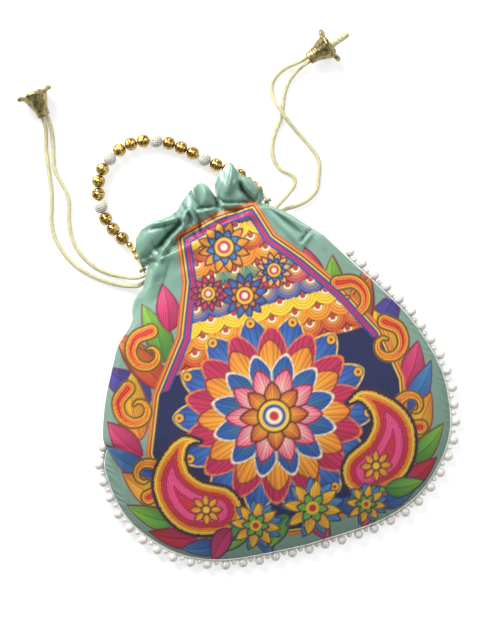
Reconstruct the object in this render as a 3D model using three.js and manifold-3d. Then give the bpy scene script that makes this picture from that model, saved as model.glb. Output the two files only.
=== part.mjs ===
// A drawstring pouch of mint fabric with a gathered satin top, lying on its back with its front up.
// Millimetres, +Z up, +Y towards the mouth, origin at the middle of the face that it lies on.
import * as THREE from 'three';
import { mergeVertices } from 'three/addons/utils/BufferGeometryUtils.js';
import Module from 'manifold-3d';

const wasm = await Module();
wasm.setup();

// Cloth
const WALL = 1.2;
const SEAM_GAP = 0.3;
const REST_CLEARANCE = 0.2;

// Half of the pouch's outline in plan, from the middle of its bottom edge up its right side
const HALF_OUTLINE = [
  [0, -80.5], [48, -77.5], [77, -68], [97, -51], [109.5, -31], [114, -5],
  [111.5, 18], [101.5, 46], [86, 72], [73.5, 91],
];
const LEFT_SHOULDER = [-67.5, 101];
const RIGHT_SHOULDER = [61, 111];
const CORNER_SHARE = 0.4;
const BELLY_HEIGHT = 31;
const SEAM_HEIGHT = 3.7;
const SEAM_RISE_START = 0.5;
const BELLY_ROUNDNESS = 2;
const PANEL_COLUMNS = 16;
const FRONT_ROWS = 14;
const BACK_ROWS = 10;
const EDGE_CROWDING = 1.7;

// On its upper left side the seam is rolled under: share of the half width from the edge,
// shift outwards and lift of the front there
const ROLL_INSET = 8.5;
const ROLL_SHIFT = [
  [0, 0, 0], [0.02, 2.2, 1.4], [0.065, 12.2, 0.2], [0.129, 20, 0.6], [0.211, 22, 2.6],
  [0.308, 17, 2.6], [0.42, 12.5, 1.6], [0.545, 8.5, 0.6], [0.7, 5, 0], [1, 0, 0],
];
const ROLL_RANGE = [0.58, 0.7, 0.9, 0.99];

// The tied neck, in a frame of its own that leans to the left
const NECK_CENTRE = new THREE.Vector3(-11.5, 124.5, 0);
const NECK_LEAN = THREE.MathUtils.degToRad(14.4);
const NECK_HEIGHT = 17.5;
const SHOULDER_HALF_THICKNESS = 15.4;
const RING_SQUARENESS = 2.6;
const GATHER_COUNT = 15;
const GATHER_DEPTH = 1.4;
const COLLAR_COLUMNS = 4 * GATHER_COUNT;

// The drawstring channel inside the neck
const CHANNEL_HALF_LENGTH = 4.5;
const CHANNEL_HALF_WIDTH = 47;
const CHANNEL_TAPER = 0.89;
const CHANNEL_HALF_THICKNESS = 15;
const BAND_WALL = 0.8;
const BAND_HEM = 1.7;
const BAND_HALF_LENGTH = CHANNEL_HALF_LENGTH - 0.6;
const BAND_SEAT_GAP = 1.1;
const SLOT_HALF_LENGTH = CHANNEL_HALF_LENGTH - 0.5;
const SLOT_HALF_HEIGHT = 11.5;
const SLOT_DROP = 2.5;
const SLOT_START = 36;
const SLOT_DEPTH = 21;

// The frill above the neck: place round the front half, from 0 at the right to 1 at the left,
// height above the neck, and how far the fold stands out
const FRILL_ROOT = 6.5;
const FRILL_HALF_WIDTH = 44.5;
const FRILL_HALF_THICKNESS = 10.5;
const FRILL_ROWS = 4;
const FRILL_LIFT = 6.7;
const FRILL_FOLDS = [
  [0, 7, 0], [0.08, 15, 2.5], [0.15, 19, 2], [0.2, 21, -2.5], [0.245, 33, 2.5], [0.32, 29, 3.5],
  [0.39, 18, -5.5], [0.44, 27, 2.5], [0.5, 29, 3], [0.56, 23, -2.5], [0.64, 22.5, 2.5],
  [0.74, 21.5, 4], [0.84, 17, 2], [0.92, 12, 1.5], [1, 7, 0],
];
const BACK_FRILL_HEIGHT = 21;
const BACK_FOLD_COUNT = 5;
const BACK_FOLD_DEPTH = 1.6;

// Cords
const CORD_DIAMETER = 2.8;
const CORD_CLEARANCE = 0.7;
const CORD_PAIR_SPACING = 3.8;
const CORD_SIDES = 8;
const CORD_ROOM = CORD_DIAMETER + 2 * CORD_CLEARANCE;
const CLOTH_INSET = GATHER_DEPTH + WALL / 2;
const CORD_INSET = CLOTH_INSET + CORD_ROOM / 2;
const BAND_INSET = CLOTH_INSET + CORD_ROOM;
const RUN_GAP_ANGLE = THREE.MathUtils.degToRad(40);
const FREE_CORD_STEPS = 22;
const RUN_STEPS = 36;
const LYING = CORD_DIAMETER / 2 + REST_CLEARANCE;

// Free strands, each as the points that it lies along, from the channel to its cap
const LEFT_BACK_STRAND = [
  [-45.4, 117.77, 9.7], [-49, 116.4, 9.2], [-53.4, 114.1, 8.8], [-57.4, 111.9, 8],
  [-62.6, 110, 5.6], [-69.1, 111.2, 2.8],
  [-74.4, 113.2, LYING], [-82.2, 117.3, LYING], [-92.7, 125.2, LYING], [-101, 134.4, LYING],
  [-106.3, 145.5, LYING], [-108.6, 155.9, LYING], [-108, 165, LYING], [-105.6, 173.6, LYING],
  [-103, 184, LYING], [-102, 192.9, LYING], [-101, 201, LYING], [-99.3, 212.9, LYING],
  [-96.6, 221.6, 3.4],
];
const LEFT_FRONT_STRAND = [
  [-45.3, 117.8, 25.1], [-48.4, 117, 24], [-52.2, 116, 21.8], [-55.9, 115.1, 18.6], [-59.6, 114.7, 14],
  [-63.6, 115.2, 8.4], [-69, 117.1, 3.6], [-74, 119.3, LYING], [-79.2, 121.9, LYING],
  [-87.3, 128.2, LYING], [-93.4, 136.7, LYING], [-97, 145.9, LYING], [-97.6, 155.4, LYING],
  [-96.2, 165.2, LYING], [-94, 172.8, LYING], [-93.8, 180.9, LYING], [-96, 190.1, LYING],
  [-97.4, 196.6, LYING], [-96.4, 204.5, LYING], [-94.4, 212.9, LYING], [-93, 221.4, 3.4],
];
const RIGHT_BACK_STRAND = [
  [25, 131.9, 9.7], [29, 132.9, 9.2], [34, 133.8, 8.2], [40, 134.2, 5], [46, 134.5, 2.6],
  [52, 135.2, LYING], [58.9, 137.2, LYING], [64.6, 141.4, LYING], [68.3, 150.1, LYING],
  [70.5, 156.9, LYING], [70.2, 162.9, LYING], [68, 169, LYING], [64.4, 176.3, LYING],
  [60.2, 184.3, 3], [56.6, 192.3, 4.9], [54.2, 199, 4.9], [52.2, 206.2, 3], [52.3, 211.8, LYING],
  [54.8, 217, LYING], [60, 221.3, LYING], [66.8, 223.9, LYING], [73, 224.6, 3],
];
const RIGHT_FRONT_STRAND = [
  [24.9, 131.9, 25.1], [28.2, 132.9, 23.8], [32.6, 134.6, 20.4], [37.6, 137.4, 14],
  [42.6, 140.8, 7.4], [47, 144.1, 3.2], [50.2, 146.8, 1.8], [52.2, 149.8, LYING], [52.1, 153.4, LYING],
  [49.9, 156.4, LYING], [45.8, 159.6, LYING], [43, 164.9, LYING], [42.6, 171.3, LYING], [44.6, 178.4, LYING],
  [48.4, 185, LYING], [53, 191.3, LYING], [56, 197.2, LYING], [58.6, 204.1, LYING],
  [61.8, 210.4, LYING], [66.6, 216, LYING], [73.2, 220.6, 3],
];

// End caps and the knots that stop them
const CAP_LENGTH = 17;
const CAP_NECK_RADIUS = 3.8;
const CAP_MOUTH_RADIUS = 9.2;
const CAP_WALL = 0.6;
const CAP_PETALS = 4;
const PETAL_DEPTH = 2.2;
const CAP_TILT = THREE.MathUtils.degToRad(11);
const CAP_REST_HEIGHT = 6.4;
const CAP_FLARE = 2.2;
const PETAL_SPREAD = 0.5;
const CAP_COLUMNS = 24;
const CAP_ROWS = 4;
const LEFT_CAP = { neck: [-94.9, 231.6, CAP_REST_HEIGHT], direction: [-0.149, 0.989], knotPlace: 9.5 };
const RIGHT_CAP = { neck: [80.8, 224.8, CAP_REST_HEIGHT], direction: [0.955, 0.296], knotPlace: 13.5 };
const KNOT_RADIUS = 3.5;
const KNOT_LENGTH = 7;
const KNOT_TAPER = 0.75;
const KNOT_ROUNDING = 0.9;
const KNOT_SIDES = 10;
const STUB_RADIUS = 2.6;
const STUB_LENGTH = 17;
const STRAND_PAIR_OFFSET = 1.55;
const STRAIGHT_BEFORE_CAP = 4;

// Pearl edging
const PEARL_RADIUS = 3.1;
const PEARL_PITCH = 11;
const PEARL_OFFSET = 3.6;
const SMALL_PEARL_RADIUS = 1.6;
const SMALL_PEARL_OFFSET = 2.3;
const THREAD_RADIUS = 0.65;
const THREAD_OFFSET = 1.1;
const TRIM_END_LEFT = 0.9;
const TRIM_END_RIGHT = 0.95;

// Beaded handle
const BEAD_RADIUS = 4.2;
const BEAD_LENGTH = 8;
const WHITE_BEAD_RADIUS = 4.4;
const WHITE_BEAD_LENGTH = 8.2;
const SMALL_BEAD_RADIUS = 2.4;
const SMALL_BEAD_LENGTH = 4.5;
const BEAD_GAP = 0.4;
const WIRE_RADIUS = 0.6;
const WIRE_CLEARANCE = 0.5;
const BORE_RADIUS = WIRE_RADIUS + WIRE_CLEARANCE;
const WIRE_SIDES = 5;
const WIRE_STEPS = 32;
const BEAD_SHOULDER = [0.78, 0.72];
const PIVOT_Y = 6;
const PIVOT_Z = 12;
const EYE_RADIUS = 2.1;
const TACK_RADIUS = 1;
const TACK_FOOT_RADIUS = 1.5;
const TACK_FOOT_LENGTH = 0.8;
const TACK_REACH = 4.8;
const TACK_HEAD_RADIUS = 2.2;
const TACK_HEAD_LENGTH = 0.8;
const TACK_SHANK = TACK_REACH - TACK_HEAD_LENGTH;
const TACK_START = CHANNEL_HALF_WIDTH - CHANNEL_TAPER * PIVOT_Y + GATHER_DEPTH + WALL / 2;
const PIVOT_X = TACK_START + TACK_SHANK / 2;
const LYING_BEAD = WHITE_BEAD_RADIUS + REST_CLEARANCE;

// Points of the handle in the neck's own frame, from its left eye to its right one, with x as a share
// of the eyes' distance from the middle
const HANDLE_ROUTE = [
  [-1, PIVOT_Y + EYE_RADIUS, PIVOT_Z], [-1, 12.5, 8.6], [-0.985, 17, 5.6], [-0.99, 22, LYING_BEAD],
  [-1.04, 29, LYING_BEAD], [-1.115, 40, LYING_BEAD], [-1.13, 50, LYING_BEAD], [-1.08, 60, LYING_BEAD],
  [-0.96, 71, LYING_BEAD], [-0.74, 79, LYING_BEAD], [-0.45, 82.3, LYING_BEAD], [-0.17, 80.7, LYING_BEAD],
  [0.07, 75, LYING_BEAD], [0.27, 66, LYING_BEAD], [0.45, 54.5, LYING_BEAD], [0.62, 43.2, LYING_BEAD],
  [0.79, 33.5, LYING_BEAD], [0.92, 25, LYING_BEAD], [0.985, 18, 5.8], [1, 12.5, 8.8],
  [1, PIVOT_Y + EYE_RADIUS, PIVOT_Z],
];

const MINT = 0x8fb3a0;
const SATIN = 0x97c3ae;
const CREAM = 0xe6dfae;
const BRASS = 0x8f7c50;
const GOLD = 0xd0a045;
const PEARL = 0xf1efe8;

const UP = new THREE.Vector3(0, 0, 1);
const { lerp, smoothstep } = THREE.MathUtils;

function material(color, roughness, metalness) {
  return new THREE.MeshStandardMaterial({ color, roughness, metalness });
}

function vector(values) {
  return new THREE.Vector3(...values);
}

// Value of a column of a table whose first column is the place, between two of its rows
function between(table, place, column) {
  const next = Math.max(1, table.findIndex(row => row[0] >= place));
  const [low, high] = [table[next - 1], table[next]];
  return lerp(low[column], high[column], (place - low[0]) / (high[0] - low[0]));
}

// A point in the neck's own frame, x across it and y along it
function neckPoint(x, y, z) {
  return new THREE.Vector3(x, y, z).applyAxisAngle(UP, NECK_LEAN).add(NECK_CENTRE);
}

// One closed shell from an outer and an inner grid of points, joined along every free edge
function shell(outer, inner, wraps) {
  const rows = outer.length;
  const columns = outer[0].length;
  const index = (skin, row, column) => (skin * rows + row) * columns + (column % columns);
  const faces = [];
  const quad = (a, b, c, d) => faces.push(a, b, c, a, c, d);
  const spans = wraps ? columns : columns - 1;
  for (let row = 0; row < rows - 1; row++) {
    for (let column = 0; column < spans; column++) {
      const next = column + 1;
      quad(index(0, row, column), index(0, row, next), index(0, row + 1, next), index(0, row + 1, column));
      quad(index(1, row, column), index(1, row + 1, column), index(1, row + 1, next), index(1, row, next));
    }
  }
  const top = rows - 1;
  for (let column = 0; column < spans; column++) {
    quad(index(1, 0, column), index(1, 0, column + 1), index(0, 0, column + 1), index(0, 0, column));
    quad(index(0, top, column), index(0, top, column + 1), index(1, top, column + 1), index(1, top, column));
  }
  const side = columns - 1;
  for (let row = 0; row < rows - 1 && !wraps; row++) {
    quad(index(0, row, 0), index(0, row + 1, 0), index(1, row + 1, 0), index(1, row, 0));
    quad(index(1, row, side), index(1, row + 1, side), index(0, row + 1, side), index(0, row, side));
  }
  const positions = [...outer.flat(), ...inner.flat()].flatMap(point => point.toArray());
  const geometry = new THREE.BufferGeometry();
  geometry.setAttribute('position', new THREE.Float32BufferAttribute(positions, 3));
  geometry.setIndex(faces);
  geometry.computeVertexNormals();
  return geometry;
}

// The grid moved inwards by a wall; edge rows and columns move square to the directions given for them
function drawnIn(grid, wall, wraps, edgeDirections) {
  const rows = grid.length;
  const columns = grid[0].length;
  return grid.map((line, row) => line.map((point, column) => {
    const left = wraps ? (column + columns - 1) % columns : Math.max(0, column - 1);
    const right = wraps ? (column + 1) % columns : Math.min(columns - 1, column + 1);
    const along = line[right].clone().sub(line[left]);
    const up = grid[Math.min(rows - 1, row + 1)][column].clone().sub(grid[Math.max(0, row - 1)][column]);
    const normal = along.cross(up).normalize();
    for (const square of edgeDirections(row, column)) normal.addScaledVector(square, -normal.dot(square));
    return point.clone().addScaledVector(normal.normalize(), -wall);
  }));
}

// Outline and seam of the pouch in plan

function sideCurve(side) {
  const shoulder = side < 0 ? LEFT_SHOULDER : RIGHT_SHOULDER;
  const points = HALF_OUTLINE.map(([x, y]) => new THREE.Vector2(side * x, y));
  return new THREE.SplineCurve([...points, new THREE.Vector2(...shoulder)]);
}

const SIDE_CURVES = { [-1]: sideCurve(-1), 1: sideCurve(1) };

function rolledUnder(side, share) {
  const [start, full, last, end] = ROLL_RANGE;
  return side > 0 ? 0 : smoothstep(share, start, full) * (1 - smoothstep(share, last, end));
}

function outline(side, share, offset) {
  const curve = SIDE_CURVES[side];
  const point = curve.getPointAt(share);
  const tangent = share > 0 ? curve.getTangentAt(share) : new THREE.Vector2(side, 0);
  return new THREE.Vector3(point.x + side * tangent.y * offset, point.y - side * tangent.x * offset, 0);
}

function seamHeight(share) {
  return lerp(SEAM_HEIGHT, NECK_HEIGHT, smoothstep(share, SEAM_RISE_START, 1));
}

function seamPoint(side, share, offset) {
  const point = outline(side, share, offset - ROLL_INSET * rolledUnder(side, share));
  return point.setZ(seamHeight(share));
}

// Place on the patch between the bottom edge, both side seams and the shoulder line
function planPoint(across, along) {
  const side = across < 0 ? -1 : 1;
  const half = Math.abs(across);
  const share = CORNER_SHARE + (1 - CORNER_SHARE) * along;
  const bottom = seamPoint(side, half * CORNER_SHARE, 0);
  const shoulder = vector([...LEFT_SHOULDER, 0]).lerp(vector([...RIGHT_SHOULDER, 0]), (across + 1) / 2);
  const [left, right] = [seamPoint(-1, share, 0), seamPoint(1, share, 0)];
  const [low, high] = [seamPoint(-1, CORNER_SHARE, 0), seamPoint(1, CORNER_SHARE, 0)];
  const sides = left.lerp(right, (across + 1) / 2);
  const corners = low.lerp(high, (across + 1) / 2);
  corners.lerp(shoulder, along);
  const point = bottom.lerp(shoulder, along).add(sides).sub(corners);
  return point.setZ(seamHeight(share));
}

function gatherWave(angle) {
  return Math.cos(GATHER_COUNT * angle) * (0.8 + 0.2 * Math.cos(5 * angle));
}

function frontPoint(across, along) {
  const half = Math.abs(across);
  const side = across < 0 ? -1 : 1;
  const share = CORNER_SHARE + (1 - CORNER_SHARE) * along;
  const point = planPoint(across, along);
  const shoulderBlend = smoothstep(along, 0.55, 1);
  const round = lerp(BELLY_ROUNDNESS, RING_SQUARENESS, shoulderBlend);
  const rise = (1 - half ** round) ** lerp(0.75, 1 / RING_SQUARENESS, shoulderBlend);
  const bottomRise = (1 - (1 - Math.min(1, along / 0.45)) ** 2) ** 0.7;
  const height = lerp(BELLY_HEIGHT, SHOULDER_HALF_THICKNESS + WALL / 2, smoothstep(along, 0.3, 1));
  const angle = Math.acos(side * half ** (RING_SQUARENESS / 2));
  const gathers = GATHER_DEPTH * gatherWave(angle) * smoothstep(along, 0.7, 1) * (1 - half ** 8);
  const roll = rolledUnder(side, share);
  const edge = 1 - half;
  point.x += side * roll * between(ROLL_SHIFT, edge, 1);
  point.z += height * rise * bottomRise + gathers * bottomRise + roll * between(ROLL_SHIFT, edge, 2);
  return point;
}

function backPoint(across, along) {
  const half = Math.abs(across);
  const point = planPoint(across, along);
  const share = CORNER_SHARE + (1 - CORNER_SHARE) * along;
  const fullness = (1 - half ** RING_SQUARENESS) ** (1 / RING_SQUARENESS);
  const bottomRise = (1 - (1 - Math.min(1, along / 0.2)) ** 2) ** 0.5;
  point.z = Math.max(0, seamHeight(share) - (SHOULDER_HALF_THICKNESS + WALL / 2) * fullness * bottomRise);
  return point;
}

function panel(surface, facing, rows) {
  const shoulderLine = vector([...RIGHT_SHOULDER, 0]).sub(vector([...LEFT_SHOULDER, 0])).normalize();
  const acrossShoulder = new THREE.Vector3(-shoulderLine.y, shoulderLine.x, 0);
  const grid = [];
  for (let row = 0; row <= rows; row++) {
    const line = [];
    for (let column = 0; column <= PANEL_COLUMNS; column++) {
      const step = facing * (2 * column / PANEL_COLUMNS - 1);
      const across = Math.sign(step) * (1 - (1 - Math.abs(step)) ** EDGE_CROWDING);
      const point = surface(across, row / rows);
      if (row === 0 || Math.abs(across) === 1) point.z += facing * SEAM_GAP / 2;
      if (row === rows) point.addScaledVector(acrossShoulder, -SEAM_GAP / 2);
      line.push(point);
    }
    grid.push(line);
  }
  const directions = (row, column) => {
    const onSide = column === 0 || column === PANEL_COLUMNS;
    const square = row === 0 || onSide ? [UP] : [];
    return row === rows ? [...square, acrossShoulder] : square;
  };
  return shell(grid, drawnIn(grid, WALL, false, directions), false);
}

// The gathered ring of the neck and the frill

// Both ends of the shoulder seam in the neck's own frame
function shoulderEnds() {
  return [LEFT_SHOULDER, RIGHT_SHOULDER].map(([x, y]) => {
    return new THREE.Vector3(x, y, 0).sub(NECK_CENTRE).applyAxisAngle(UP, -NECK_LEAN);
  });
}

function channelHalfWidth(y) {
  return CHANNEL_HALF_WIDTH - CHANNEL_TAPER * y;
}

function ringPoint(angle, left, right, halfThickness, middleHeight, outwards) {
  const power = 2 / RING_SQUARENESS;
  const cosine = Math.sign(Math.cos(angle)) * Math.abs(Math.cos(angle)) ** power;
  const sine = Math.sign(Math.sin(angle)) * Math.abs(Math.sin(angle)) ** power;
  const half = right.clone().sub(left).multiplyScalar(0.5);
  const across = half.clone().normalize();
  const point = left.clone().add(half).addScaledVector(half, cosine);
  point.z = middleHeight + halfThickness * sine;
  const slope = new THREE.Vector2(cosine ** 2 * Math.sign(cosine) * halfThickness, sine * half.length());
  slope.normalize();
  return point.addScaledVector(across, slope.x * outwards).addScaledVector(UP, slope.y * outwards);
}

// A level ring round the neck, drawn in from the middle of the cloth
function neckRing(angle, y, inset) {
  const half = channelHalfWidth(y) - inset;
  const ends = [-half, half].map(x => new THREE.Vector3(x, y, 0));
  const point = ringPoint(angle, ...ends, CHANNEL_HALF_THICKNESS - inset, NECK_HEIGHT, 0);
  return neckPoint(...point.toArray());
}

function foldValue(angle, column) {
  const turn = THREE.MathUtils.euclideanModulo(angle, 2 * Math.PI) / Math.PI;
  return turn <= 1 ? between(FRILL_FOLDS, turn, column) : null;
}

function frillHeight(angle) {
  const ends = FRILL_FOLDS[0][1];
  return foldValue(angle, 1) ?? ends + (BACK_FRILL_HEIGHT - ends) * Math.abs(Math.sin(angle)) ** 0.6;
}

function frillFold(angle) {
  return foldValue(angle, 2) ?? BACK_FOLD_DEPTH * Math.sin(BACK_FOLD_COUNT * angle) * Math.sin(angle);
}

// The rows of the collar from its seam halfway to the channel
function shoulderRows() {
  const [leftSeam, rightSeam] = shoulderEnds();
  const low = -CHANNEL_HALF_LENGTH;
  const channelEnd = x => new THREE.Vector3(x * channelHalfWidth(low), low, 0);
  return [0, 0.5].map(share => ({
    left: leftSeam.clone().lerp(channelEnd(-1), share),
    right: rightSeam.clone().lerp(channelEnd(1), share),
    halfThickness: lerp(SHOULDER_HALF_THICKNESS, CHANNEL_HALF_THICKNESS, share),
    height: NECK_HEIGHT,
  }));
}

function channelRow(y) {
  const half = channelHalfWidth(y);
  return {
    left: new THREE.Vector3(-half, y, 0),
    right: new THREE.Vector3(half, y, 0),
    halfThickness: CHANNEL_HALF_THICKNESS,
    height: NECK_HEIGHT,
  };
}

function collarRow(row, isSeam) {
  return angle => {
    const depth = isSeam ? GATHER_DEPTH * (1 - Math.abs(Math.cos(angle)) ** 6) : GATHER_DEPTH;
    const gathers = depth * gatherWave(angle);
    const point = ringPoint(angle, row.left, row.right, row.halfThickness, row.height, gathers);
    return neckPoint(...point.toArray());
  };
}

function frillRow(share) {
  return angle => {
    const half = lerp(channelHalfWidth(FRILL_ROOT), FRILL_HALF_WIDTH, Math.min(1, 1.8 * share));
    const y = FRILL_ROOT + share * frillHeight(angle);
    const gathers = GATHER_DEPTH * gatherWave(angle) * lerp(1, 0.25, share);
    const outwards = gathers + frillFold(angle) * share ** 1.2;
    const thickness = lerp(CHANNEL_HALF_THICKNESS - 2, FRILL_HALF_THICKNESS, share);
    const height = NECK_HEIGHT + FRILL_LIFT * share;
    const ends = [-half, half].map(x => new THREE.Vector3(x, y, 0));
    return neckPoint(...ringPoint(angle, ...ends, thickness, height, outwards).toArray());
  };
}

function satinCollar() {
  const [leftSeam, rightSeam] = shoulderEnds();
  const seamLine = rightSeam.clone().sub(leftSeam).normalize().applyAxisAngle(UP, NECK_LEAN);
  const acrossSeam = new THREE.Vector3(-seamLine.y, seamLine.x, 0);
  const rows = shoulderRows().map((row, place) => collarRow(row, place === 0));
  for (const y of [-CHANNEL_HALF_LENGTH, CHANNEL_HALF_LENGTH]) rows.push(collarRow(channelRow(y), false));
  for (let row = 0; row <= FRILL_ROWS; row++) rows.push(frillRow(row / FRILL_ROWS));
  const grid = rows.map((pointAt, row) => {
    const line = [];
    for (let column = 0; column < COLLAR_COLUMNS; column++) {
      const point = pointAt(-2 * Math.PI * column / COLLAR_COLUMNS);
      if (row === 0) point.addScaledVector(acrossSeam, SEAM_GAP / 2);
      line.push(point);
    }
    return line;
  });
  const directions = row => (row === 0 ? [acrossSeam] : []);
  const outer = drawnIn(grid, -WALL / 2, true, directions);
  const inner = drawnIn(grid, WALL / 2, true, directions);
  return [-1, 1].reduce((geometry, side) => {
    const slot = new THREE.BoxGeometry(SLOT_DEPTH, 2 * SLOT_HALF_LENGTH, 2 * SLOT_HALF_HEIGHT);
    slot.translate(side * (SLOT_START + SLOT_DEPTH / 2), 0, NECK_HEIGHT - SLOT_DROP);
    slot.rotateZ(NECK_LEAN);
    slot.translate(NECK_CENTRE.x, NECK_CENTRE.y, 0);
    return cut(geometry, slot);
  }, shell(outer, inner, true));
}

// The strip that is sewn inside the neck and holds the cords against it
function casingBand() {
  const hemInset = CLOTH_INSET + BAND_SEAT_GAP;
  const profile = [
    [-BAND_HALF_LENGTH - BAND_HEM, hemInset], [-BAND_HALF_LENGTH, BAND_INSET],
    [BAND_HALF_LENGTH, BAND_INSET], [BAND_HALF_LENGTH + BAND_HEM, hemInset],
  ];
  const skin = wall => profile.map(([y, inset]) => {
    const line = [];
    for (let column = 0; column < COLLAR_COLUMNS / 2; column++) {
      line.push(neckRing(-4 * Math.PI * column / COLLAR_COLUMNS, y, inset + wall));
    }
    return line;
  });
  return shell(skin(0), skin(BAND_WALL), true);
}

// Solid bodies through the boolean kernel

function toSolid(geometry) {
  const plain = new THREE.BufferGeometry();
  plain.setAttribute('position', geometry.getAttribute('position').clone());
  if (geometry.index) plain.setIndex(geometry.index.clone());
  const merged = mergeVertices(plain, 1e-4);
  return new wasm.Manifold(new wasm.Mesh({
    numProp: 3,
    vertProperties: Float32Array.from(merged.getAttribute('position').array),
    triVerts: Uint32Array.from(merged.index.array),
  }));
}

function fromSolid(solid) {
  const mesh = solid.getMesh();
  const geometry = new THREE.BufferGeometry();
  geometry.setAttribute('position', new THREE.BufferAttribute(Float32Array.from(mesh.vertProperties), 3));
  geometry.setIndex(new THREE.BufferAttribute(Uint32Array.from(mesh.triVerts), 1));
  geometry.computeVertexNormals();
  return geometry;
}

function cut(geometry, tool) {
  return fromSolid(toSolid(geometry).subtract(toSolid(tool)));
}

// Pearl edging along the seam, its pearls and thread as one piece

function pearlTrim() {
  const joints = [];
  const lengthOf = side => SIDE_CURVES[side].getLength();
  const leftEnd = TRIM_END_LEFT * lengthOf(-1);
  const rightEnd = TRIM_END_RIGHT * lengthOf(1);
  const place = (distance, offset) => {
    const side = distance < 0 ? -1 : 1;
    return seamPoint(side, Math.abs(distance) / lengthOf(side), offset);
  };
  const count = Math.floor((leftEnd + rightEnd) / PEARL_PITCH);
  const first = -leftEnd + (leftEnd + rightEnd - count * PEARL_PITCH) / 2;
  const thread = [];
  for (let pearl = 0; pearl <= count; pearl++) {
    const distance = first + pearl * PEARL_PITCH;
    joints.push(ball(place(distance, PEARL_OFFSET), PEARL_RADIUS, 5, 3));
    thread.push(place(distance, THREAD_OFFSET));
    if (pearl === count) continue;
    joints.push(ball(place(distance + PEARL_PITCH / 2, SMALL_PEARL_OFFSET), SMALL_PEARL_RADIUS, 4, 2));
    thread.push(place(distance + PEARL_PITCH / 2, THREAD_OFFSET));
  }
  joints.push(tube(new THREE.CatmullRomCurve3(thread), THREAD_RADIUS, 3, Math.round(1.5 * count)));
  return fromSolid(wasm.Manifold.union(joints.map(toSolid)));
}

function ball(centre, radius, around, down) {
  return new THREE.SphereGeometry(radius, around, down).rotateX(Math.PI / 2).translate(...centre.toArray());
}

function tube(curve, radius, sides, steps) {
  const section = new THREE.Shape();
  for (let side = 0; side < sides; side++) {
    const angle = 2 * Math.PI * side / sides;
    const [x, y] = [radius * Math.cos(angle), radius * Math.sin(angle)];
    if (side === 0) section.moveTo(x, y);
    else section.lineTo(x, y);
  }
  return new THREE.ExtrudeGeometry(section, { steps, extrudePath: curve, bevelEnabled: false });
}

// Drawstrings

function cordRun(side, y) {
  const points = [];
  const start = (side < 0 ? Math.PI : 0) + RUN_GAP_ANGLE;
  const sweep = 2 * (Math.PI - RUN_GAP_ANGLE);
  for (let step = 0; step <= RUN_STEPS; step++) {
    points.push(neckRing(start + sweep * step / RUN_STEPS, y, CORD_INSET));
  }
  return tube(new THREE.CatmullRomCurve3(points), CORD_DIAMETER / 2, CORD_SIDES, RUN_STEPS);
}

function capAxis(cap) {
  const level = new THREE.Vector3(cap.direction[0], cap.direction[1], 0).normalize();
  return level.multiplyScalar(Math.cos(CAP_TILT)).addScaledVector(UP, Math.sin(CAP_TILT));
}

// Both strands run side by side through the cap's neck up to the knot
function strand(route, cap, side) {
  const axis = capAxis(cap);
  const across = new THREE.Vector3(axis.y, -axis.x, 0).normalize().multiplyScalar(side * STRAND_PAIR_OFFSET);
  const inCap = distance => vector(cap.neck).addScaledVector(axis, distance).add(across);
  const ends = [inCap(-STRAIGHT_BEFORE_CAP), inCap(0.5), inCap(cap.knotPlace - SEAM_GAP)];
  const curve = new THREE.CatmullRomCurve3([...route.map(vector), ...ends]);
  return tube(curve, CORD_DIAMETER / 2, CORD_SIDES, FREE_CORD_STEPS);
}

function revolved(profile, segments) {
  const points = profile.map(([radius, height]) => new THREE.Vector2(radius, height));
  return new THREE.LatheGeometry(points, segments);
}

function placedAlong(geometry, base, direction) {
  const turn = new THREE.Quaternion().setFromUnitVectors(new THREE.Vector3(0, 1, 0), direction);
  return geometry.applyQuaternion(turn).translate(...base.toArray());
}

// A bell of four petals, its neck at the base and its mouth up the axis
function endCap(cap) {
  const grid = [];
  for (let row = 0; row <= CAP_ROWS; row++) {
    const share = row / CAP_ROWS;
    const line = [];
    for (let column = 0; column < CAP_COLUMNS; column++) {
      const angle = -2 * Math.PI * column / CAP_COLUMNS;
      const petal = Math.cos(CAP_PETALS * angle);
      const radius = lerp(CAP_NECK_RADIUS, CAP_MOUTH_RADIUS, share ** CAP_FLARE) + PETAL_SPREAD * petal * share ** 3;
      const height = share * (CAP_LENGTH - PETAL_DEPTH + PETAL_DEPTH * petal * share);
      line.push(new THREE.Vector3(radius * Math.cos(angle), height, radius * Math.sin(angle)));
    }
    grid.push(line);
  }
  const flatEnd = row => (row === 0 ? [new THREE.Vector3(0, 1, 0)] : []);
  const bell = shell(grid, drawnIn(grid, CAP_WALL, true, flatEnd), true);
  return placedAlong(bell, vector(cap.neck), capAxis(cap));
}

function knot(cap, stubLength) {
  const neck = KNOT_RADIUS * KNOT_TAPER;
  const stub = stubLength ? [
    [STUB_RADIUS, KNOT_LENGTH - KNOT_ROUNDING], [STUB_RADIUS, stubLength - KNOT_ROUNDING],
    [STUB_RADIUS * KNOT_TAPER, stubLength], [0, stubLength],
  ] : [[neck, KNOT_LENGTH - KNOT_ROUNDING], [0, KNOT_LENGTH]];
  const profile = [[0, 0], [neck, KNOT_ROUNDING], [KNOT_RADIUS, KNOT_LENGTH / 2]];
  const axis = capAxis(cap);
  const base = vector(cap.neck).addScaledVector(axis, cap.knotPlace);
  return placedAlong(revolved([...profile, ...stub], KNOT_SIDES), base, axis);
}

// Handle: a wire through its beads, from a tack at one side of the neck to one at the other

function handleCurve() {
  return new THREE.CatmullRomCurve3(HANDLE_ROUTE.map(([x, y, z]) => neckPoint(x * PIVOT_X, y, z)));
}

function bead(radius, length, segments) {
  const half = length / 2;
  const [wide, far] = BEAD_SHOULDER;
  return revolved([
    [BORE_RADIUS, -half], [radius * wide, -half * far], [radius, 0], [radius * wide, half * far],
    [BORE_RADIUS, half], [BORE_RADIUS, -half],
  ], segments);
}

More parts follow.
